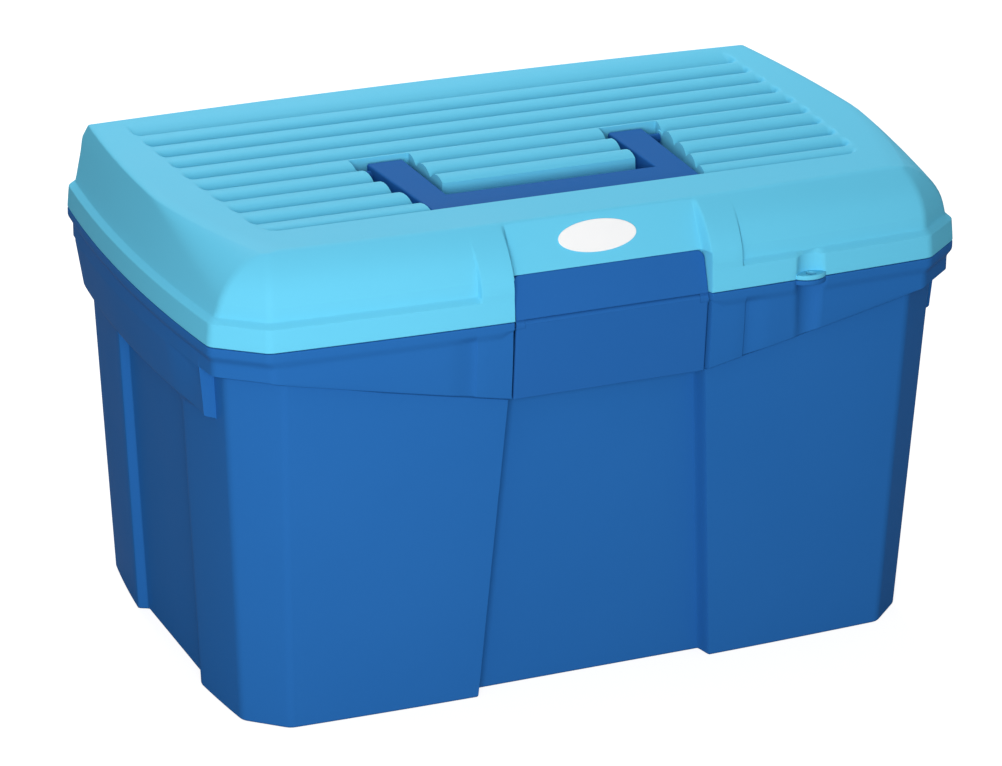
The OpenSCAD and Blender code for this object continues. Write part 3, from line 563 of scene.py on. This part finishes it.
forms_bm = bmesh.new()
for x in (-CATCH_X, CATCH_X):
    wedge = [(x - CATCH_W / 2, y, z) for y, z in CATCH_SIDE]
    drawn_out(forms_bm, wedge, (CATCH_W, 0, 0), 0.4)
eye_lip(forms_bm, TUB_H - EYE_LIP_T, TUB_H, EYE_LIP_EDGE)
for x in (-HINGE_X, HINGE_X):
    knuckle(forms_bm, x - KNUCKLE_FAR, x - KNUCKLE_NEAR, (FLANGE_Z, TUB_H - 0.1))
    knuckle(forms_bm, x + KNUCKLE_NEAR, x + KNUCKLE_FAR, (FLANGE_Z, TUB_H - 0.1))
add_piece(forms_bm, "tub_forms", tub_paint, "tub")

# The two hinge pins are drawn steel wire, cut to length and pressed through the knuckles at
# the back, where the tub's outer knuckles hold them.
def drawn_steel(name):
    """Drawn wire: bright steel with fine marks along its length."""
    paint = bpy.data.materials.new(name)
    paint.use_nodes = True
    tree = paint.node_tree
    shader = tree.nodes["Principled BSDF"]
    place = tree.nodes.new("ShaderNodeTexCoord")
    stretch = tree.nodes.new("ShaderNodeMapping")
    stretch.inputs["Scale"].default_value = (40, 900, 900)
    marks = tree.nodes.new("ShaderNodeTexNoise")
    marks.inputs["Scale"].default_value = 1
    marks.inputs["Detail"].default_value = 4
    dull = tree.nodes.new("ShaderNodeMapRange")
    dull.inputs["To Min"].default_value = 0.25
    dull.inputs["To Max"].default_value = 0.5
    tree.links.new(place.outputs["Object"], stretch.inputs["Vector"])
    tree.links.new(stretch.outputs[0], marks.inputs["Vector"])
    tree.links.new(marks.outputs["Fac"], dull.inputs["Value"])
    tree.links.new(dull.outputs[0], shader.inputs["Roughness"])
    shader.inputs["Base Color"].default_value = (0.6, 0.6, 0.62, 1)
    shader.inputs["Metallic"].default_value = 1
    return paint


steel = drawn_steel("pin_wire")


def dress_node(node, paint):
    """Gives a solid that is kept as it is a new finish."""
    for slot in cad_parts[node].material_slots:
        slot.material = paint


dress_node("hinge_pin_left", steel)
dress_node("hinge_pin_right", steel)

# The tray is a thin moulding in the lid's light blue that hangs by its rim on the tub's ledge
# and lifts out. Three thin walls split it into four bins. Its mesh is the solid's own, with the
# edges rounded as a mould rounds them.
TRAY_EDGE = 0.45
tray_paint = moulded_plastic("tray_blue", (0.125, 0.555, 0.79), (0.135, 0.575, 0.81), 0.48)
tray_bm = bmesh.new()
tray_bm.from_mesh(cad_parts["tray"].data)
bmesh.ops.remove_doubles(tray_bm, verts=tray_bm.verts[:], dist=1e-6)
bmesh.ops.dissolve_limit(tray_bm, angle_limit=math.radians(0.2), verts=tray_bm.verts[:],
                         edges=tray_bm.edges[:])
tray_edges = [e for e in tray_bm.edges if len(e.link_faces) == 2
              and e.calc_face_angle() > math.radians(60)]
round_edges(tray_bm, tray_edges, TRAY_EDGE, 2)
add_piece(tray_bm, "tray_bins", tray_paint, "tray", ["tray"])

# The lid is one injection moulding in light blue polypropylene: a rim that sits on the tub's
# flange, a leaning dome with a rolled front and cut corners, ribs on top, a well for the
# handle round a ribbed island, and a channel for the latch between two raised strips.
LID_Z = 198.8
DOME_Z = 212.6
DOME_H, ROLL_R = 28.0, 31.2
LID_TOP = DOME_Z + DOME_H
LID_WALL = 2.4
RIM_STEP = 4.1
RIM_DRAFT = 0.9
END_ROLL_R = 22.0
END_LEAN, BACK_LEAN = 0.3, 0.55
CORNER_MIN = 0.6
TOP_EDGE_R = 1.4
STRIP = 67.0
LATCH_JOINT = np.array([-127.5, 198.5])
LATCH_TOP = np.array([-120.8, 218.7])
LABEL_TOP = np.array([-107.96, LID_TOP])
STRIP_TOP = 238.9
STRIP_EDGE = 1.5
LATCH_T = 2.6
PANEL_EDGE, PLATE_EDGE = 2.2, 0.4
CHANNEL_EDGE = 0.9
PLATE_GAP = 0.05
PANEL_COS = 0.863
LID_KNUCKLE = 10.0
KNUCKLE_SIDE = 0.3
RIB_COUNT, RIB_PITCH, RIB_H = 9, 18.0, 4.0
RIB_R = ((RIB_PITCH / 2) ** 2 + RIB_H ** 2) / (2 * RIB_H)
VALLEY = 0.9
FIELD_FRONT, FIELD_BACK = -78.5, 83.5
BACK_ROLL_W = 16.5
BACK_ROLL_R = (BACK_ROLL_W ** 2 + RIB_H ** 2) / (2 * RIB_H)
WELL_FLOOR = 222.0
WELL_BACK = 3.0
WELL_SIDES = (70.5, 77.5, 82.3)
ISLAND, ISLAND_FRONT = 51.3, -40.4
FIELD_EDGE_Y = (-79.5, -78.6, -77.4, -75.5, -72.5, -68, 0, 100)
FIELD_EDGE_X = (146, 149, 152, 154.3, 156, 157.2, 163.5, 166.8)
FIELD_FADE, FIELD_LEAD = 3.6, 0.6
WELL_EDGE, FRONT_EDGE, ISLAND_EDGE = 1.4, 1.1, 0.8
LEAD = 0.5

LID_ST = stations(front=[8, 8, 4, 5, 8, 14, 8], corner=4, chamfer=4, end=[24], back=BACK_COUNTS)
lid_front = LID_ST[:, 0] == 0
lid_back = LID_ST[:, 0] == 8


def roll_loss(r, rise):
    """How far a roll of radius r has drawn in at a height above its foot."""
    rise = np.clip(rise, 0, r)
    return r - np.sqrt(r * r - rise * rise)


def dome_ring(z, w, anchors):
    """Half a ring of the dome at one height, set in by a wall."""
    up = max(z - DOME_Z, 0.0)
    top = DOME_H - w
    body = set_in(RIM, RIM_STEP)
    rolled = roll_loss(ROLL_R - w, up)
    front = body[1] - w - rolled
    back = body[1] - w - BACK_LEAN * up - roll_loss(TOP_EDGE_R, up - top + TOP_EDGE_R)

    def end_at(s):
        r = (END_ROLL_R - w) * np.maximum(0, 1 - 2 * s) ** 1.25
        r = np.maximum(r, TOP_EDGE_R)
        return body[0] - w - END_LEAN * up - roll_loss(r, up - top + r)

    run = math.hypot(body[2], body[3])
    cut = (body[3] * body[0] + body[2] * (body[1] - body[3])) / run - w

    def corner(facet, side, end):
        y = (facet * run - body[3] * end) / body[2]
        if y > side - CORNER_MIN:
            return end - CORNER_MIN, side - CORNER_MIN
        return (facet * run - body[2] * side) / body[3], y

    front_end, back_end = float(end_at(0.0)), float(end_at(1.0))
    xf, ye = corner(cut - rolled, front, front_end)
    xb, yb = corner(cut, back, back_end)

    def end_x(y):
        s = np.clip((y + ye) / (ye + yb), 0, 1)
        return end_at(s) + RIM[4] * 4 * s * (1 - s)

    corners = [(xf, -front), (front_end, -ye), (back_end, yb), (xb, back)]
    return half_ring(LID_ST, corners, RIM[5], end_x, anchors, CORNER_R)


def channel_y(z):
    """The channel's back: behind the latch's plate, and above it the panel for the oval."""
    if z < LATCH_TOP[1] - 0.01:
        run = LATCH_TOP - LATCH_JOINT
        seat = (LATCH_T + PLATE_GAP) * math.hypot(*run) / run[1]
        return LATCH_JOINT[0] + run[0] * (z - LATCH_JOINT[1]) / run[1] + seat
    run = LABEL_TOP - LATCH_TOP
    return LATCH_TOP[0] + run[0] * (z - LATCH_TOP[1]) / run[1]


def lid_row(z, inset=None, wall=0.0):
    """Half a ring of the lid's skin. A row of the rim gives its inset; the others lie on the dome."""
    panel = z > LATCH_TOP[1] - 0.01
    p_in = CHANNEL - (PANEL_EDGE if panel else PLATE_EDGE) if not wall else CHANNEL + wall - 0.6
    p_out = CHANNEL + CHANNEL_EDGE + wall
    anchors = ([0, p_in, p_out, STRIP, STRIP + STRIP_EDGE, 95.5, 112.5], [], HINGE_COLUMNS)
    if inset is None:
        ring = dome_ring(z, wall, anchors)
        push = (RIM_STEP - RIM_DRAFT) * (1 - ease((z - DOME_Z) / (STRIP_TOP - DOME_Z)))
    else:
        ring = outline_ring(LID_ST, set_in(RIM, inset), anchors)
        push = max(inset - RIM_DRAFT, 0)
    x, y = ring.T.copy()
    if not wall:
        y = np.where(lid_front, y - push * (1 - ease((x - STRIP) / STRIP_EDGE)), y)
    back = channel_y(z) + wall / PANEL_COS
    out = ease((x - p_in) / (p_out - p_in))
    y = np.where(lid_front & (back > y), back + (y - back) * out, y)
    room = HINGE_Y - math.sqrt(max(KNUCKLE_ROOM ** 2 - (z - HINGE_Z) ** 2, 0))
    knuckle_mid = (KNUCKLE_NEAR + KNUCKLE_FAR) / 2
    knuckle_half = (KNUCKLE_FAR - KNUCKLE_NEAR) / 2 + KNUCKLE_SIDE
    beside = np.abs(np.abs(x - HINGE_X) - knuckle_mid) < knuckle_half
    y = np.where(lid_back & beside, np.minimum(y, room), y)
    return np.stack([x, y, np.full(len(x), z)], 1)


def roll_heights(wall, turns):
    """Heights of rows that lie evenly round the dome's roll."""
    return [DOME_Z + (DOME_H - wall) * math.sin(math.radians(a)) for a in turns]


INSIDE_TURNS = (90, 84, 76, 66, 55, 43, 30, 15, 0)
inside_rows = [lid_row(z, None, LID_WALL) for z in roll_heights(LID_WALL, INSIDE_TURNS)]
inside_rows.append(lid_row(DOME_Z - 3, None, LID_WALL))
inside_rows += [lid_row(LID_Z + up, inset, LID_WALL) for up, inset in (
    (10.4, 3.4), (9.8, 2.6), (4.7, 2.45), (0.4, 2.4), (0.1, 2.2), (0, 1.8))]
rim_rows = [lid_row(LID_Z + up, inset) for up, inset in (
    (0, 0.55), (0.15, 0.15), (0.5, 0.02), (3.8, 0.25), (4.2, 0.3), (7.2, 0.55), (9.9, 0.8),
    (10.7, 0.88), (11, 0.95), (11.3, 1.15), (13.1, 3.35), (13.4, 3.7), (13.7, 3.95), (14.2, 4.08))]
panel_turns = [math.degrees(math.asin((z - DOME_Z) / DOME_H))
               for z in (LATCH_TOP[1] - 0.05, LATCH_TOP[1])]
turns = sorted([5, 9, 18, 24, 30, 36, 42, 48, 54, 60, 65, 70, 74] + panel_turns)
dome_rows = [lid_row(z) for z in roll_heights(0, turns)]
shoulder, crease = lid_row(LID_TOP - 0.8), lid_row(LID_TOP)
brink = crease * [0.983, 0.983, 1]
dome_rows += [(1 - t) ** 2 * shoulder + 2 * t * (1 - t) * crease + t * t * brink
              for t in (0, 0.2, 0.4, 0.6, 0.8, 1)]
plain = np.stack(inside_rows + rim_rows + dome_rows)
NICHE_LOW, NICHE_TOP = 198, 211
eyed_inside = eye_hollow(np.stack(inside_rows), HOLLOW_R + LID_WALL, NICHE_LOW, NICHE_TOP + 1)
eyed_outside = eye_hollow(np.stack(rim_rows + dome_rows), HOLLOW_R, NICHE_LOW, NICHE_TOP)


def well_side(y):
    """Half the well's width, which grows towards the back."""
    return np.interp(y, [FIELD_FRONT, ISLAND_FRONT, WELL_BACK], WELL_SIDES)


def field_side(y):
    """The ribbed field's side, with its rounded front corner."""
    return np.interp(y, FIELD_EDGE_Y, FIELD_EDGE_X)


def top_height(x, y, w):
    """Height of the lid's top, or of its underside where w is the wall."""
    off = np.abs((y - FIELD_FRONT) % RIB_PITCH - RIB_PITCH / 2)
    drop = RIB_R - np.sqrt(RIB_R ** 2 - off ** 2)
    near = RIB_PITCH / 2 - VALLEY
    slope = near / math.sqrt(RIB_R ** 2 - near ** 2)
    floor_drop = RIB_R - math.sqrt(RIB_R ** 2 - near ** 2)
    gone = np.clip(off - near, 0, None)
    drop = np.where(off > near, floor_drop + slope * (gone - gone ** 2 / (2 * VALLEY)), drop)
    rest = np.clip(FIELD_BACK + BACK_ROLL_W - y, 0, BACK_ROLL_W)
    roll_drop = BACK_ROLL_R - np.sqrt(BACK_ROLL_R ** 2 - rest ** 2)
    drop = np.where(y > FIELD_BACK, np.minimum(roll_drop, floor_drop + slope * VALLEY / 2), drop)
    drop = drop * ease((field_side(y) + FIELD_LEAD - x) / FIELD_FADE) * ease(y - FIELD_FRONT + LEAD)
    z = LID_TOP - w - drop
    well = ease((well_side(y) + w + LEAD - x) / WELL_EDGE)
    well = well * ease((y - FIELD_FRONT + w + LEAD) / FRONT_EDGE)
    well = well * ease((WELL_BACK + w + LEAD - y) / WELL_EDGE)
    island = ease((ISLAND - w + LEAD - x) / ISLAND_EDGE)
    island = island * ease((y - ISLAND_FRONT - w + LEAD) / ISLAND_EDGE)
    return z + (WELL_FLOOR - w - z) * well * (1 - island)


def top_grid(w, rib_steps):
    """Half of the lid's top with its ribs and well, as a grid of points."""
    ys = [FIELD_FRONT + RIB_PITCH * i + s for i in range(RIB_COUNT) for s in rib_steps]
    ys += [FIELD_BACK + s for s in (0, 0.4, 0.8, 1.2, 3, 5, 8, 11, 14, BACK_ROLL_W, BACK_ROLL_W + 1)]
    ys += [FIELD_FRONT - w - LEAD + s for s in (0, 0.28, 0.55, 0.83, FRONT_EDGE)]
    ys += [ISLAND_FRONT + w - LEAD + s for s in (0, 0.2, 0.4, 0.6, ISLAND_EDGE)]
    ys += [WELL_BACK + w + LEAD - WELL_EDGE + s for s in (0, 0.35, 0.7, 1.05, WELL_EDGE)]
    ys = sorted([FIELD_FRONT - w - 1.3] + ys)
    ys = [y for i, y in enumerate(ys) if i == 0 or y - ys[i - 1] > 0.1]
    rows = []
    for y in ys:
        f, s, i = field_side(y), well_side(y) + w, ISLAND - w
        places = [0, i + LEAD - ISLAND_EDGE, i + LEAD, s + LEAD - WELL_EDGE, s + LEAD,
                  f + FIELD_LEAD - FIELD_FADE, f + FIELD_LEAD, f + FIELD_LEAD + 1]
        counts = [7, 5, 4, 5, 9, 7, 1]
        x = np.concatenate([np.linspace(a, b, n, endpoint=False)
                            for a, b, n in zip(places, places[1:], counts)] + [[places[-1]]])
        rows.append(np.stack([x, np.full(len(x), y), top_height(x, np.full(len(x), y), w)], 1))
    return np.stack(rows)


lid_bm = bmesh.new()
lay_halves(lid_bm, np.concatenate([eyed_inside, eyed_outside]), plain)
RIB_STEPS = (0, 0.3, 0.6, 0.9, 1.6, 2.6, 4, 6, 9, 12, 14, 15.4, 16.4, 17.1, 17.4, 17.7)
outer_top = top_grid(0, RIB_STEPS)
lay_halves(lid_bm, outer_top, outer_top)
under_top = top_grid(LID_WALL, (0, 0.45, 0.9, 2.6, 5, 9, 13, 15.4, 17.1, 17.55))
lay_halves(lid_bm, under_top, under_top)
for level in (LID_TOP, LID_TOP - LID_WALL):
    rims = [e for e in lid_bm.edges if e.is_boundary
            and all(abs(v.co.z - level * MM) < 1e-6 for v in e.verts)]
    bmesh.ops.triangle_fill(lid_bm, use_beauty=True, edges=rims)
lid_paint = moulded_plastic("lid_blue", (0.125, 0.555, 0.79), (0.135, 0.575, 0.81), 0.48)
add_piece(lid_bm, "lid_shell", lid_paint, "lid", ["lid"])

# Small forms of the lid, moulded with it: the padlock's lip, the hinge knuckles with their
# webs, and the two bosses inside that take the handle's pivots.
PIVOT_Y, PIVOT_Z = -3.6, 233.8
BOSS_BORE, BOSS_R = 2.55, 4.1
BOSS_FROM, BOSS_TO = 81.2, 88.8
lid_forms_bm = bmesh.new()
eye_lip(lid_forms_bm, LID_Z, LID_Z + EYE_LIP_T, EYE_LIP_EDGE)
for x in (-HINGE_X, HINGE_X):
    knuckle(lid_forms_bm, x - LID_KNUCKLE, x + LID_KNUCKLE, (LID_Z + 0.1, LID_Z + KNUCKLE_R))
for s in (-1, 1):
    boss = ring_profile(BOSS_BORE, BOSS_R, BOSS_FROM, BOSS_TO, 0.4)
    turned(lid_forms_bm, boss, (0, PIVOT_Y, PIVOT_Z), (s, 0, 0), (0, 0, 1))
add_piece(lid_forms_bm, "lid_forms", lid_paint, "lid")

# The oval plate above the latch is a small blank plate in glossy white plastic, with a raised
# edge. It is stuck to the panel between the lid's raised strips.
LABEL_X, LABEL_UP = -3.0, 0.8
OVAL_W, OVAL_H = 20.1, 7.8
OVAL_SEAT, OVAL_T = 0.05, 0.55
label_run = (LABEL_TOP - LATCH_TOP) / math.hypot(*(LABEL_TOP - LATCH_TOP))
label_out = np.array([-label_run[1], label_run[0]])
label_mid = (LABEL_TOP + LATCH_TOP) / 2 + label_run * LABEL_UP
label_bm = bmesh.new()
oval = bmesh.ops.create_circle(label_bm, cap_ends=True, segments=72, radius=1)["verts"]
for v in oval:
    x, s = LABEL_X + v.co.x * OVAL_W, v.co.y * OVAL_H
    place = label_mid + label_run * s + label_out * OVAL_SEAT
    v.co = Vector((x, place[0], place[1])) * MM
label_face = label_bm.faces[:]
lifted = bmesh.ops.extrude_face_region(label_bm, geom=label_face)["geom"]
bmesh.ops.translate(label_bm, vec=Vector((0, *(label_out * OVAL_T))) * MM,
                    verts=[v for v in lifted if isinstance(v, bmesh.types.BMVert)])
front_face = [f for f in lifted if isinstance(f, bmesh.types.BMFace)]
round_edges(label_bm, front_face[0].edges[:], 0.25, 2)
label_bm.faces.ensure_lookup_table()
label_way = Vector((0, *label_out))
front_face = max(label_bm.faces,
                 key=lambda f: f.calc_center_median().dot(label_way) * len(f.verts))
bmesh.ops.inset_region(label_bm, faces=[front_face], thickness=0.8 * MM, depth=0)
bmesh.ops.inset_region(label_bm, faces=[front_face], thickness=0.25 * MM, depth=-0.15 * MM)


def gloss_white(name):
    """Glossy white plastic with faint clouds and smears."""
    paint = bpy.data.materials.new(name)
    paint.use_nodes = True
    tree = paint.node_tree
    shader = tree.nodes["Principled BSDF"]
    place = tree.nodes.new("ShaderNodeTexCoord")
    clouds = tree.nodes.new("ShaderNodeTexNoise")
    clouds.inputs["Scale"].default_value = 60
    tint = tree.nodes.new("ShaderNodeMix")
    tint.data_type = "RGBA"
    tint.inputs["A"].default_value = (0.86, 0.87, 0.88, 1)
    tint.inputs["B"].default_value = (0.9, 0.9, 0.9, 1)
    smear = tree.nodes.new("ShaderNodeMapRange")
    smear.inputs["To Min"].default_value = 0.18
    smear.inputs["To Max"].default_value = 0.32
    tree.links.new(place.outputs["Object"], clouds.inputs["Vector"])
    tree.links.new(clouds.outputs["Fac"], tint.inputs["Factor"])
    tree.links.new(tint.outputs["Result"], shader.inputs["Base Color"])
    tree.links.new(clouds.outputs["Fac"], smear.inputs["Value"])
    tree.links.new(smear.outputs[0], shader.inputs["Roughness"])
    return paint


add_piece(label_bm, "label_plate", gloss_white("plate_white"), "lid", ["label"],
          sharp=70)

# The latch's upper plate is a dark blue moulding pegged into the lid's channel. Its two ears
# carry the pin on which the flap swings.
LATCH_HALF = 49.8
LATCH_AXIS = (-125.3, 196.0)
BARREL_R, BARREL_BORE = 2.2, 1.05
EAR = 4.4
EAR_WEB = ((-126.4, 196.6), (-124.9, 196.6), (-124.9, 199.6), (-126.4, 199.6))
PEG_R, PEG_FROM, PEG_TO = 2.6, 1.5, 7.4
trim_paint = moulded_plastic("trim_blue", (0.018, 0.118, 0.38), (0.021, 0.128, 0.4), 0.46, 0.006)
plate_run = LATCH_TOP - LATCH_JOINT
plate_long = math.hypot(*plate_run)
plate_run = plate_run / plate_long
plate_in = np.array([plate_run[1], -plate_run[0]])


def on_plate(x, along, deep):
    """A point of the latch's plate, along its slope and into it."""
    y, z = LATCH_JOINT + plate_run * along + plate_in * deep
    return (x, y, z)


plate_bm = bmesh.new()
HEAD_R = 4.5
head_turns = [math.radians(a) for a in range(0, 91, 15)]
plate_edge = [(-LATCH_HALF, 0), (LATCH_HALF, 0)]
plate_edge += [(LATCH_HALF - HEAD_R * (1 - math.cos(a)), plate_long - HEAD_R * (1 - math.sin(a)))
               for a in head_turns]
plate_edge += [(-LATCH_HALF + HEAD_R * (1 - math.sin(a)), plate_long - HEAD_R * (1 - math.cos(a)))
               for a in head_turns]
first = [plate_bm.verts.new(Vector(on_plate(x, s, 0)) * MM) for x, s in plate_edge]
sheet = plate_bm.faces.new(first)
deep = bmesh.ops.extrude_face_region(plate_bm, geom=[sheet])["geom"]
deep = [v for v in deep if isinstance(v, bmesh.types.BMVert)]
bmesh.ops.translate(plate_bm, verts=deep, vec=Vector((0, *(plate_in * LATCH_T))) * MM)
for v in deep:
    v.co.z = max(v.co.z, LATCH_JOINT[1] * MM)
round_edges(plate_bm, sheet.edges[:], 0.7)
ear_turns = np.linspace(0, 2 * math.pi, 97)
ear_way = np.stack([np.cos(ear_turns), np.sin(ear_turns)], 1)
face_lean = 0.0697
below = (ear_turns >= math.pi) & (ear_turns < 1.5 * math.pi)
flush = BARREL_R / np.maximum(-ear_way[:, 0] - face_lean * ear_way[:, 1], 0.01)
ear_r = np.where(below, np.minimum(flush, BARREL_R + 0.45), BARREL_R)
for s in (-1, 1):
    ear_rows = []
    for x, r in ((LATCH_HALF - EAR, BARREL_BORE), (LATCH_HALF - EAR, ear_r), (LATCH_HALF, ear_r),
                 (LATCH_HALF, BARREL_BORE), (LATCH_HALF - EAR, BARREL_BORE)):
        ring = np.array(LATCH_AXIS) + ear_way * np.reshape(r, (-1, 1))
        ear_rows.append(np.concatenate([np.full((len(ring), 1), s * x), ring], 1))
    lay_grid(plate_bm, np.stack(ear_rows))
    x0 = LATCH_HALF - EAR if s > 0 else -LATCH_HALF
    drawn_out(plate_bm, [(x0, y, z) for y, z in EAR_WEB], (EAR, 0, 0), 0)
    peg = np.array(on_plate(s * CATCH_X, plate_long / 2, 0))
    peg_side = ring_profile(0.4, PEG_R, PEG_FROM, PEG_TO, 0.5)
    turned(plate_bm, peg_side, peg, (0, *plate_in), (1, 0, 0))
bmesh.ops.remove_doubles(plate_bm, verts=plate_bm.verts[:], dist=1e-6)
add_piece(plate_bm, "latch_upper", trim_paint, "lid", ["latch_plate"])
dress_node("latch_pin", steel)

# The latch's flap is a dark blue moulding that hangs from the pin. The barrel along its head
# turns on the pin, and the bead along its foot snaps behind the tub's wedges.
flap_bm = bmesh.new()
brow = (LATCH_AXIS[0] - BARREL_R, LATCH_AXIS[1])
lean = (FLAP_FOOT[0] - brow[0]) / (FLAP_FOOT[1] - brow[1])


def on_flap(x, z):
    """A point of the flap's front."""
    return (x, brow[0] + lean * (z - brow[1]), z)


EAR_GAP = 0.12
FLAP_HEAD = 196.1
NOTCH_LOW, NOTCH_BACK_LOW = 194.25, 191.3
ear_in = LATCH_HALF - EAR - EAR_GAP
flap_edge = [on_flap(x, z) for x, z in (
    (-LATCH_HALF, FLAP_FOOT[1]), (LATCH_HALF, FLAP_FOOT[1]), (LATCH_HALF, NOTCH_LOW),
    (ear_in, NOTCH_LOW), (ear_in, FLAP_HEAD), (-ear_in, FLAP_HEAD), (-ear_in, NOTCH_LOW),
    (-LATCH_HALF, NOTCH_LOW))]
drawn_out(flap_bm, flap_edge, (0, LATCH_T, 0), 0)
for v in flap_bm.verts:
    if abs(v.co.z - NOTCH_LOW * MM) < 1e-6 and v.co.y > -125.5 * MM:
        v.co.z = NOTCH_BACK_LOW * MM
side_edges = [e for e in flap_bm.edges
              if all(abs(v.co.x) > (LATCH_HALF - 0.1) * MM for v in e.verts)
              and abs(e.verts[0].co.z - e.verts[1].co.z) > 10 * MM]
round_edges(flap_bm, side_edges, 0.8)
foot_edges = [e for e in flap_bm.edges if all(v.co.z < (FLAP_FOOT[1] + 0.1) * MM for v in e.verts)]
round_edges(flap_bm, foot_edges, 0.35)
barrel = ring_profile(BARREL_BORE, BARREL_R, -ear_in, ear_in, 0.05)
turned(flap_bm, barrel, (0, *LATCH_AXIS), (1, 0, 0), (0, 0, 1))
BEAD_R, BEAD_END = 1.3, LATCH_HALF - 0.4
bead = (0, FLAP_FOOT[0] + LATCH_T, FLAP_FOOT[1] + LATCH_T / 2)
turned(flap_bm, ring_profile(0.3, BEAD_R, -BEAD_END, BEAD_END, 0.4), bead, (1, 0, 0), (0, 0, 1))
add_piece(flap_bm, "latch_flap_plate", trim_paint, "flap", ["latch_flap"])

# The carry handle is one dark blue U that lies in the lid's well. Its arms end in round heels
# that turn on two short pins.
GRIP_FRONT, GRIP_BACK = -75.0, -54.6
ARM_W, ARM_SPLAY = 16.0, 4.0
HANDLE_LOW, HANDLE_T = 229.0, 9.6
HANDLE_GAP, HANDLE_EDGE = 1.2, 1.1
heel_y = PIVOT_Y + HANDLE_T / 2
side = float(well_side(GRIP_FRONT)) - HANDLE_GAP
heel = side + ARM_SPLAY
crook = side + ARM_SPLAY * (GRIP_BACK - GRIP_FRONT) / (PIVOT_Y - GRIP_FRONT) - ARM_W
handle_bm = bmesh.new()
arm = [(side, GRIP_FRONT), (heel, heel_y), (crook, heel_y), (crook, GRIP_BACK)]
handle_edge = arm + [(-x, y) for x, y in reversed(arm)]
drawn_out(handle_bm, [(x, y, HANDLE_LOW) for x, y in handle_edge], (0, 0, HANDLE_T), 0)
heels = [e for e in handle_bm.edges if all(abs(v.co.y - heel_y * MM) < 1e-6 for v in e.verts)
         and abs(e.verts[0].co.z - e.verts[1].co.z) < 1e-6]
heel_foot = [e for e in heels if e.verts[0].co.z < (HANDLE_LOW + 1) * MM]
round_edges(handle_bm, heel_foot, HANDLE_T / 2 - 0.05, 8)
bmesh.ops.recalc_face_normals(handle_bm, faces=handle_bm.faces[:])
handle_edges = [e for e in handle_bm.edges if len(e.link_faces) == 2
                and e.calc_face_angle() > math.radians(25)]
round_edges(handle_bm, handle_edges, HANDLE_EDGE)
add_piece(handle_bm, "handle_grip", trim_paint, "handle", ["carry_handle"])
dress_node("handle_pivot_left", trim_paint)
dress_node("handle_pivot_right", trim_paint)
